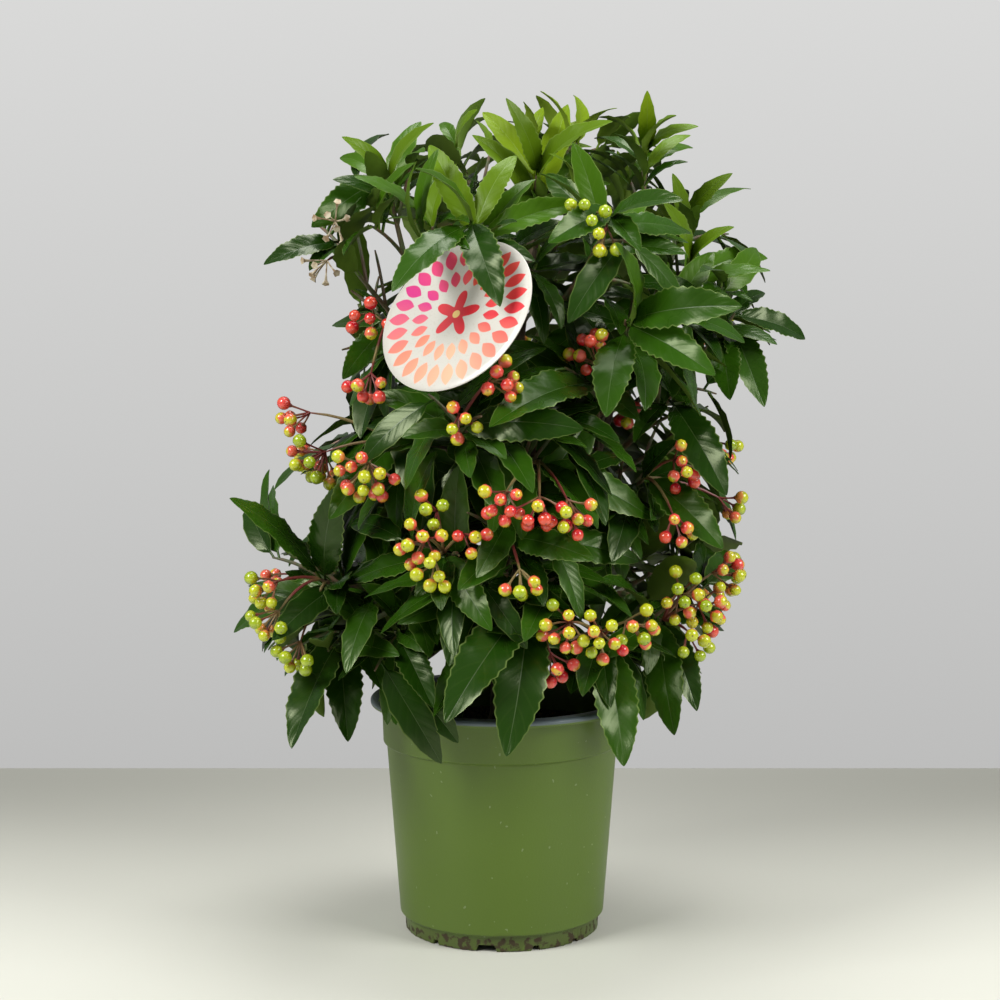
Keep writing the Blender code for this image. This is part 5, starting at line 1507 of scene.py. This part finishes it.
# %% Turn the pot
POT_COLUMNS = 480
NOTCH_SLOPE = 0.0004
WALL_MIDDLE = 0.062
CENTRE_HOLE = 0.004
EDGE_ROUNDING = 0.0005


def rounded(corners, radius, steps=4):
    """An outline whose corners become short arcs: a quadratic Bezier between the two cut points of each."""
    corners = np.array(corners, dtype=float)
    outline = [corners[:1]]
    for before, corner, after in zip(corners, corners[1:], corners[2:]):
        cut = min(radius, 0.45 * np.linalg.norm(corner - before), 0.45 * np.linalg.norm(after - corner))
        first = corner + unit(before - corner) * cut
        last = corner + unit(after - corner) * cut
        outline.append(bezier_points(np.array([[first, corner, last]]), np.linspace(0, 1, steps)[None])[0])
    outline.append(corners[-1:])
    return np.concatenate(outline)


def turned(profile, columns):
    """A profile of radii and heights turned round Z: x = r cos a, y = r sin a."""
    angle = (math.tau * np.arange(columns) / columns)[None]
    radius = profile[:, :1]
    return np.stack((radius * np.cos(angle), radius * np.sin(angle),
                     np.repeat(profile[:, 1:], columns, axis=1)), axis=-1)


def wall_radius(height):
    """The radius of the pot's tapering body at a height."""
    share = (height - FOOT_HEIGHT) / (BAND_FOOT - FOOT_HEIGHT)
    return BODY_FOOT_RADIUS + (BODY_TOP_RADIUS - BODY_FOOT_RADIUS) * share


def notch_lift(angle):
    """How far the foot's edge is lifted at an angle: the highest of the notches there, with steep sides."""
    lift = 0.00025 * (1 + np.sin(angle * 23) * np.sin(angle * 41 + 1))
    for degrees, width, height in NOTCHES:
        away = np.abs((angle - math.radians(degrees) + math.pi) % math.tau - math.pi) * FOOT_RADIUS
        lift = np.maximum(lift, height * np.clip((width / 2 - away) / NOTCH_SLOPE, 0, 1))
    return lift


BAND_FOOT = POT_HEIGHT - LIP_THICKNESS - BAND_HEIGHT
FLOOR_TOP = BASE_RECESS + BASE_THICKNESS
LIP_LOW = POT_HEIGHT - LIP_THICKNESS
foot_inner = FOOT_RADIUS - FOOT_WALL
under = rounded([(CENTRE_HOLE, 0), (PAD_RADIUS, 0), (PAD_RADIUS + PAD_SLOPE, BASE_RECESS), (foot_inner, BASE_RECESS),
                 (foot_inner, 0), (FOOT_RADIUS, 0), (FOOT_RADIUS + FOOT_FLARE, FOOT_HEIGHT),
                 (BODY_FOOT_RADIUS, FOOT_HEIGHT + FOOT_LEDGE), (wall_radius(WALL_MIDDLE), WALL_MIDDLE),
                 (wall_radius(BAND_FOOT), BAND_FOOT), (BAND_RADIUS, BAND_FOOT + BAND_LEDGE),
                 (BAND_RADIUS + BAND_FLARE, LIP_LOW), (LIP_RADIUS - LIP_BEVEL / 2, LIP_LOW),
                 (LIP_RADIUS, LIP_LOW + LIP_BEVEL), (LIP_RADIUS, POT_HEIGHT - LIP_BEVEL),
                 (LIP_RADIUS - LIP_BEVEL, POT_HEIGHT), (BAND_RADIUS - WALL + BAND_FLARE, POT_HEIGHT),
                 (BAND_RADIUS - WALL, BAND_FOOT + BAND_LEDGE),
                 (wall_radius(BAND_FOOT) - WALL, BAND_FOOT), (wall_radius(FLOOR_TOP) - WALL, FLOOR_TOP),
                 (CENTRE_HOLE, FLOOR_TOP)], EDGE_ROUNDING)
pot_points = turned(under, POT_COLUMNS)
pot_angle = (math.tau * np.arange(POT_COLUMNS) / POT_COLUMNS)[None]
at_foot = (under[:, :1] > foot_inner - 0.0007) & (under[:, :1] < FOOT_RADIUS + 0.0007) & (under[:, 1:] < 0.0007)
pot_points[..., 2] = np.where(at_foot, pot_points[..., 2] + notch_lift(pot_angle), pot_points[..., 2])


def pot_finish():
    """Olive green moulded plastic: fine grain, faint smudges, pale specks, a painted grey-blue reflection along the
    lip's top and a stained foot.
    """
    finish = Finish("pot_plastic", (0.090, 0.160, 0.016), 0.45)
    place = finish.place()
    height = finish.apart(place)[2]
    smudge = finish.noise(14, 3.0)
    green = finish.mix(smudge, (0.070, 0.124, 0.006), (0.086, 0.146, 0.009))
    specks = finish.noise(430, 0.0).step(0.82, 0.85)
    green = finish.mix(specks * 0.35, green, (0.30, 0.36, 0.22))
    # Painted reflection: above the lip's foot the plastic turns grey-blue, as if it mirrored the pale ground.
    inside = height.step(LIP_LOW + 0.0008, LIP_LOW + 0.0016)
    body = finish.mix(inside, green, (0.130, 0.165, 0.185))
    dirt = finish.noise(260, 5.0)
    low = 1 - height.step(0.005, 0.014)
    algae = (finish.noise(60, 4.0) + low * 0.6).step(0.80, 1.10)
    body = finish.mix(algae * 0.6, body, (0.052, 0.068, 0.011))
    stain = (dirt + low * 0.34).step(0.84, 0.94)
    finish.feed("Base Color", finish.mix(stain * 0.9, body, (0.036, 0.018, 0.008)))
    finish.feed("Roughness", smudge * 0.16 + 0.34 + stain * 0.35)
    finish.bump(finish.noise(900, 2.0) * 0.4 + dirt * stain, 0.00025, 0.5)
    return finish.material


pot = make_piece("pot_shell", pot_points.reshape(-1, 3), tube_faces(len(under), POT_COLUMNS), [pot_finish()],
                 crease=40)
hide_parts("pot")

# %% [markdown]
# ## Compost
#
# Peat and bark fines fill the pot to a finger's breadth under its lip. The surface is a
# turned profile roughened by a few crossing waves, and crumbs of bark lie on it.

# %% The compost and its crumbs
SOIL_COLUMNS = 160
CRUMBS = 420
SOIL_LOW = SOIL_TOP - 0.0036


def lumps(x, y):
    """Uneven ground: a sum of crossing cosines of shorter and shorter wave, from -1 to 1."""
    total = 0
    for index in range(9):
        turn, pitch = 2.4 * index, 90 * 1.42 ** index
        total = total + np.cos(pitch * (x * math.cos(turn) + y * math.sin(turn)) + index) * 0.80 ** index
    return total / 4.2


gap = WALL + CLEARANCE
soil_edge = BAND_RADIUS - gap
soil_profile = [(0.004, FLOOR_TOP + CLEARANCE), (wall_radius(FLOOR_TOP) - gap, FLOOR_TOP + CLEARANCE),
                (wall_radius(BAND_FOOT) - gap, BAND_FOOT)]
soil_profile += [(radius, SOIL_LOW) for radius in np.linspace(soil_edge, 0.003, 46)]
soil_points = turned(np.array(soil_profile), SOIL_COLUMNS)
upper = np.array([height >= SOIL_LOW for radius, height in soil_profile])
x, y = soil_points[upper][..., 0], soil_points[upper][..., 1]
soil_points[upper, :, 2] += 0.0019 + 0.0014 * lumps(x, y)


def crumb_parts(count):
    """Bark crumbs: stretched, knobbly balls scattered over the compost by the golden angle."""
    index = np.arange(count)
    radius = 0.057 * np.sqrt((index + 0.5) / count)
    angle = index * GOLDEN_ANGLE
    x, y = radius * np.cos(angle), radius * np.sin(angle)
    size = 0.0007 + 0.0012 * (0.5 + 0.5 * np.sin(index * 12.9898)) ** 3
    z = SOIL_LOW + 0.0019 + 0.0014 * lumps(x, y) + size * 0.3
    turn = index * 2.1
    way = np.stack((np.cos(turn), np.sin(turn), 0.3 * np.sin(index)), axis=1)
    steps = np.linspace(0.12, 0.90, 5) * math.pi
    paths = np.stack((x, y, z), axis=1)[:, None] - way[:, None] * (1.7 * size[:, None] * np.cos(steps))[..., None]
    radii = size[:, None] * np.sin(steps)[None] * (1 + 0.25 * np.sin(index[:, None] * 3.3 + np.arange(5) * 2.2))
    return tube_parts(paths, radii, 6)


def soil_finish(name, dark, light):
    """Moist peat: near black with brown fibres."""
    finish = Finish(name, dark, 0.95)
    cloud = finish.noise(380, 6.0)
    finish.feed("Base Color", finish.mix(cloud.step(0.42, 0.72), dark, light))
    finish.bump(cloud + finish.noise(1500, 2.0) * 0.4, 0.0012, 1.0)
    return finish.material


soil = make_piece("compost", soil_points.reshape(-1, 3), tube_faces(len(soil_profile), SOIL_COLUMNS),
                  [soil_finish("compost", (0.012, 0.008, 0.005), (0.05, 0.033, 0.020))], crease=80)
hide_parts("soil")
points, sets, kinds, places = crumb_parts(CRUMBS)
make_piece("bark_crumbs", points, sets, [soil_finish("bark_crumb", (0.022, 0.013, 0.008), (0.09, 0.055, 0.03))],
           kinds, places)

# %% [markdown]
# ## The plant card
#
# A round coated card hangs in the leaves from a loop. It is a thin turned disc laid in
# the card's own plane. Its print is plain decoration: a ring of leaf-shaped strokes that
# turn from magenta to red, round a simple blossom.

# %% The card and its print
CARD_COLUMNS = 128


def card_parts():
    """A disc in the card's plane: c + (r cos a) across + (r sin a) over + h facing, bowed by the radius squared."""
    facing = TAG_FACES.normalized()
    across = side_of(facing)
    over = facing.cross(across)
    half = TAG_THICKNESS / 2
    rim = TAG_RADIUS
    rings = np.linspace(0.001, rim - 0.0003, 12)
    profile = [(radius, -half) for radius in rings] + [(rim, -half * 0.4), (rim, half * 0.4)]
    profile += [(radius, half) for radius in rings[::-1]]
    grid = turned(np.array(profile), CARD_COLUMNS)
    bow = 0.0005 * ((grid[..., 0] / rim) ** 2 - (grid[..., 1] / rim) ** 2)
    frame_of = np.array([tuple(across), tuple(over), tuple(facing)])
    grid[..., 2] += bow
    points = grid @ frame_of + np.array(tuple(TAG_CENTRE))
    place = (grid[..., :2] / rim + 1) / 2
    faces = tube_faces(len(profile), CARD_COLUMNS)
    front = np.repeat(np.arange(len(profile) - 1) >= 12, CARD_COLUMNS)
    kinds = np.concatenate((np.where(front, 0, 1), [1, 0]))
    return points.reshape(-1, 3), faces, kinds, place.reshape(-1, 2)


def holder_parts():
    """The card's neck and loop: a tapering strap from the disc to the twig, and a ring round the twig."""
    twig = next(growth for growth in growths if growth.mass.name == TAG_MASS).stem
    centre, way = twig.at(TAG_LOOP_ALONG), twig.way(TAG_LOOP_ALONG)
    facing = TAG_FACES.normalized()
    inner = twig.radii[0] + CLEARANCE
    middle = inner + TAG_LOOP_WALL / 2
    across = side_of(way)
    over = way.cross(across)
    angle = (math.tau * np.arange(33) / 32)[:, None]
    ring = np.array(tuple(centre)) + middle * (np.cos(angle) * np.array(tuple(across))
                                               + np.sin(angle) * np.array(tuple(over)))
    to_card = centre - TAG_CENTRE
    in_plane = (to_card - facing * to_card.dot(facing)).normalized()
    root = TAG_CENTRE + in_plane * (TAG_RADIUS - TAG_NECK_OVERLAP)
    wall_way = root - centre
    wall_way = (wall_way - way * wall_way.dot(way)).normalized()
    tip = centre + wall_way * middle
    neck = np.linspace(tuple(root), tuple(tip), 12)
    neck_side = facing.cross((tip - root).normalized()).normalized()
    parts = []
    widths = np.linspace(TAG_NECK_WIDTH, TAG_NECK_TIP_WIDTH, 12) / 2
    parts.append(strap_parts(neck, np.repeat([tuple(neck_side)], 12, axis=0), widths, TAG_NECK_THICKNESS / 2))
    parts.append(strap_parts(ring, np.repeat([tuple(way)], 33, axis=0), np.full(33, TAG_LOOP_WIDTH / 2),
                             TAG_LOOP_WALL / 2))
    return merged(parts)


def strap_parts(path, side, half_widths, half_thickness):
    """A flat strap along a path: corners at +- the half width along side and +- the half thickness square to it."""
    over = unit(np.cross(side, np.gradient(path, axis=0)))
    corners = ((-1, -1), (1, -1), (1, 1), (-1, 1))
    points = np.stack([path + side * half_widths[:, None] * wide + over * half_thickness * thick
                       for wide, thick in corners], axis=1)
    rows = len(path)
    place = np.full((rows * 4, 2), 0.5)
    place[:, 1] = 0.98
    return points.reshape(-1, 3), tube_faces(rows, 4), np.ones((rows - 1) * 4 + 2), place


def card_finish():
    """Cream card under a thin gloss, with a ring of leaf-shaped strokes and a blossom."""
    cream = (0.57, 0.55, 0.49)
    finish = Finish("card_print", cream, 0.35, Coat_Weight=0.3)
    u, v = finish.along()
    x, y = u * 2 - 1, v * 2 - 1
    radius = finish.maths("SQRT", x * x + y * y)
    turn = finish.maths("ARCTAN2", y, x) / math.tau + 0.5
    ramp = finish.node("ShaderNodeValToRGB", {"stops": (
        (0.0, (0.62, 0.02, 0.035)), (1.0, (0.62, 0.02, 0.035)), (0.22, (0.76, 0.09, 0.06)),
        (0.45, (0.60, 0.015, 0.20)), (0.62, (0.80, 0.22, 0.13)), (0.80, (0.85, 0.45, 0.28)))}, {0: turn})
    body = finish.mix(finish.noise(900, 0.0).step(0.66, 0.70) * 0.35, cream, (0.50, 0.47, 0.39))
    for count, middle, length, width, shift in ((26, 0.80, 0.15, 0.085, 0.0), (19, 0.50, 0.12, 0.07, 0.5)):
        wedge = (finish.maths("FRACT", turn * count + shift) - 0.5).absolute() * (math.tau / count) * radius
        reach = (radius - middle) / length
        lens = (1 - reach * reach) * width
        body = finish.mix((lens - wedge).step(0.0, 0.012), body, ramp)
    petals = ((turn * (math.tau * 5)).sine() * 0.10 + 0.22 - radius).step(0.0, 0.012)
    body = finish.mix(petals, body, (0.60, 0.018, 0.03))
    body = finish.mix((0.055 - radius).step(0.0, 0.01), body, (0.85, 0.60, 0.20))
    finish.feed("Base Color", body)
    finish.bump(finish.noise(1200, 2.0), 0.0001, 0.4)
    return finish.material


def card_back():
    """The card's unprinted side, with the grain of the board."""
    finish = Finish("card_back", (0.80, 0.78, 0.71), 0.6)
    grain = finish.noise(500, 4.0)
    finish.feed("Base Color", finish.mix(grain, (0.74, 0.72, 0.65), (0.84, 0.82, 0.76)))
    finish.bump(grain, 0.0001, 0.5)
    return finish.material


points, sets, kinds, places = merged([card_parts(), holder_parts()])
card = make_piece("plant_card", points, sets, [card_finish(), card_back()], kinds, places, 40)
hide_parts("tag")

# %% [markdown]
# ## Table, light and camera
#
# The plant stands on a pale table, painted with shade that darkens it towards its far
# edge, before a plain light ground, under soft studio light from both sides and above.
# The camera looks slightly down at it, through a long lens from about a metre away.

# %% The table
TABLE_EDGE = 0.37
TABLE_REACH = 3.0
TABLE_NEAR = (0.60, 0.60, 0.53)
# The far colour is the table's own tone darkened by painted shade.
TABLE_FAR_PAINTED_SHADE = (0.33, 0.33, 0.29)


def make_table():
    """A table top whose far edge crosses the picture behind the pot, with painted shade that darkens it towards that
    edge.
    """
    corners = np.array([(-TABLE_REACH, -TABLE_REACH, 0), (TABLE_REACH, -TABLE_REACH, 0),
                        (TABLE_REACH, TABLE_EDGE, 0), (-TABLE_REACH, TABLE_EDGE, 0)], dtype=float)
    mesh = bpy.data.meshes.new("table")
    mesh.from_pydata([tuple(corner) for corner in corners], [], [(0, 1, 2, 3)])
    finish = Finish("table_top", TABLE_NEAR, 0.5)
    # Painted shade: the top darkens towards its far edge, as if less light reached it there.
    far = finish.apart(finish.place())[1].step(0.03, 0.36)
    finish.feed("Base Color", finish.mix(far + (finish.noise(3, 3.0) - 0.5) * 0.1, TABLE_NEAR, TABLE_FAR_PAINTED_SHADE))
    mesh.materials.append(finish.material)
    table = bpy.data.objects.new("table", mesh)
    bpy.context.collection.objects.link(table)


make_table()

# %% Light
LIGHTS = (("key_light", (-1.15, -0.85, 1.35), 0.8, 32), ("fill_light", (1.20, -0.75, 1.20), 0.8, 25),
          ("top_light", (0.1, 0.3, 1.8), 0.8, 15))
GROUND_COLOUR = (1.0, 1.0, 0.99)
GROUND_SEEN = (0.50, 0.70)
GROUND_LIGHT = 0.22


def aim(thing, target):
    """Turns a light or camera so that its -Z looks at a point."""
    thing.rotation_euler = (Vector(target) - thing.location).to_track_quat("-Z", "Y").to_euler()


for name, place, size, power in LIGHTS:
    lamp = bpy.data.lights.new(name, "AREA")
    lamp.size = size
    lamp.energy = power
    light = bpy.data.objects.new(name, lamp)
    light.location = place
    aim(light, (0, 0, 0.25))
    bpy.context.collection.objects.link(light)
world = bpy.data.worlds.new("studio")
world.use_nodes = True
ground = world.node_tree.nodes["Background"]
ground.inputs["Color"].default_value = (*GROUND_COLOUR, 1)
nodes, links = world.node_tree.nodes, world.node_tree.links
way = nodes.new("ShaderNodeTexCoord")
rise = nodes.new("ShaderNodeSeparateXYZ")
shade = nodes.new("ShaderNodeMapRange")
shade.inputs["From Min"].default_value, shade.inputs["From Max"].default_value = -0.24, 0.11
shade.inputs["To Min"].default_value, shade.inputs["To Max"].default_value = GROUND_SEEN
ray = nodes.new("ShaderNodeLightPath")
strength = nodes.new("ShaderNodeMix")
strength.inputs["A"].default_value = GROUND_LIGHT
links.new(way.outputs["Generated"], rise.inputs["Vector"])
links.new(rise.outputs["Z"], shade.inputs["Value"])
links.new(ray.outputs["Is Camera Ray"], strength.inputs["Factor"])
links.new(shade.outputs["Result"], strength.inputs["B"])
links.new(strength.outputs["Result"], ground.inputs["Strength"])
bpy.context.scene.world = world

# %% Camera
CAMERA_PLACE = (-0.001, -1.209, 0.364)
CAMERA_PITCH = math.radians(6.33)
PHOTO_SIZE = 1000
PHOTO_FOCAL = 2300
SENSOR = 36

camera = bpy.data.objects.new("camera", bpy.data.cameras.new("camera"))
camera.location = CAMERA_PLACE
camera.rotation_euler = (math.pi / 2 - CAMERA_PITCH, 0, 0)
camera.data.sensor_width = SENSOR
camera.data.lens = PHOTO_FOCAL / PHOTO_SIZE * SENSOR
bpy.context.collection.objects.link(camera)
bpy.context.scene.camera = camera
bpy.context.scene.view_settings.view_transform = "Standard"
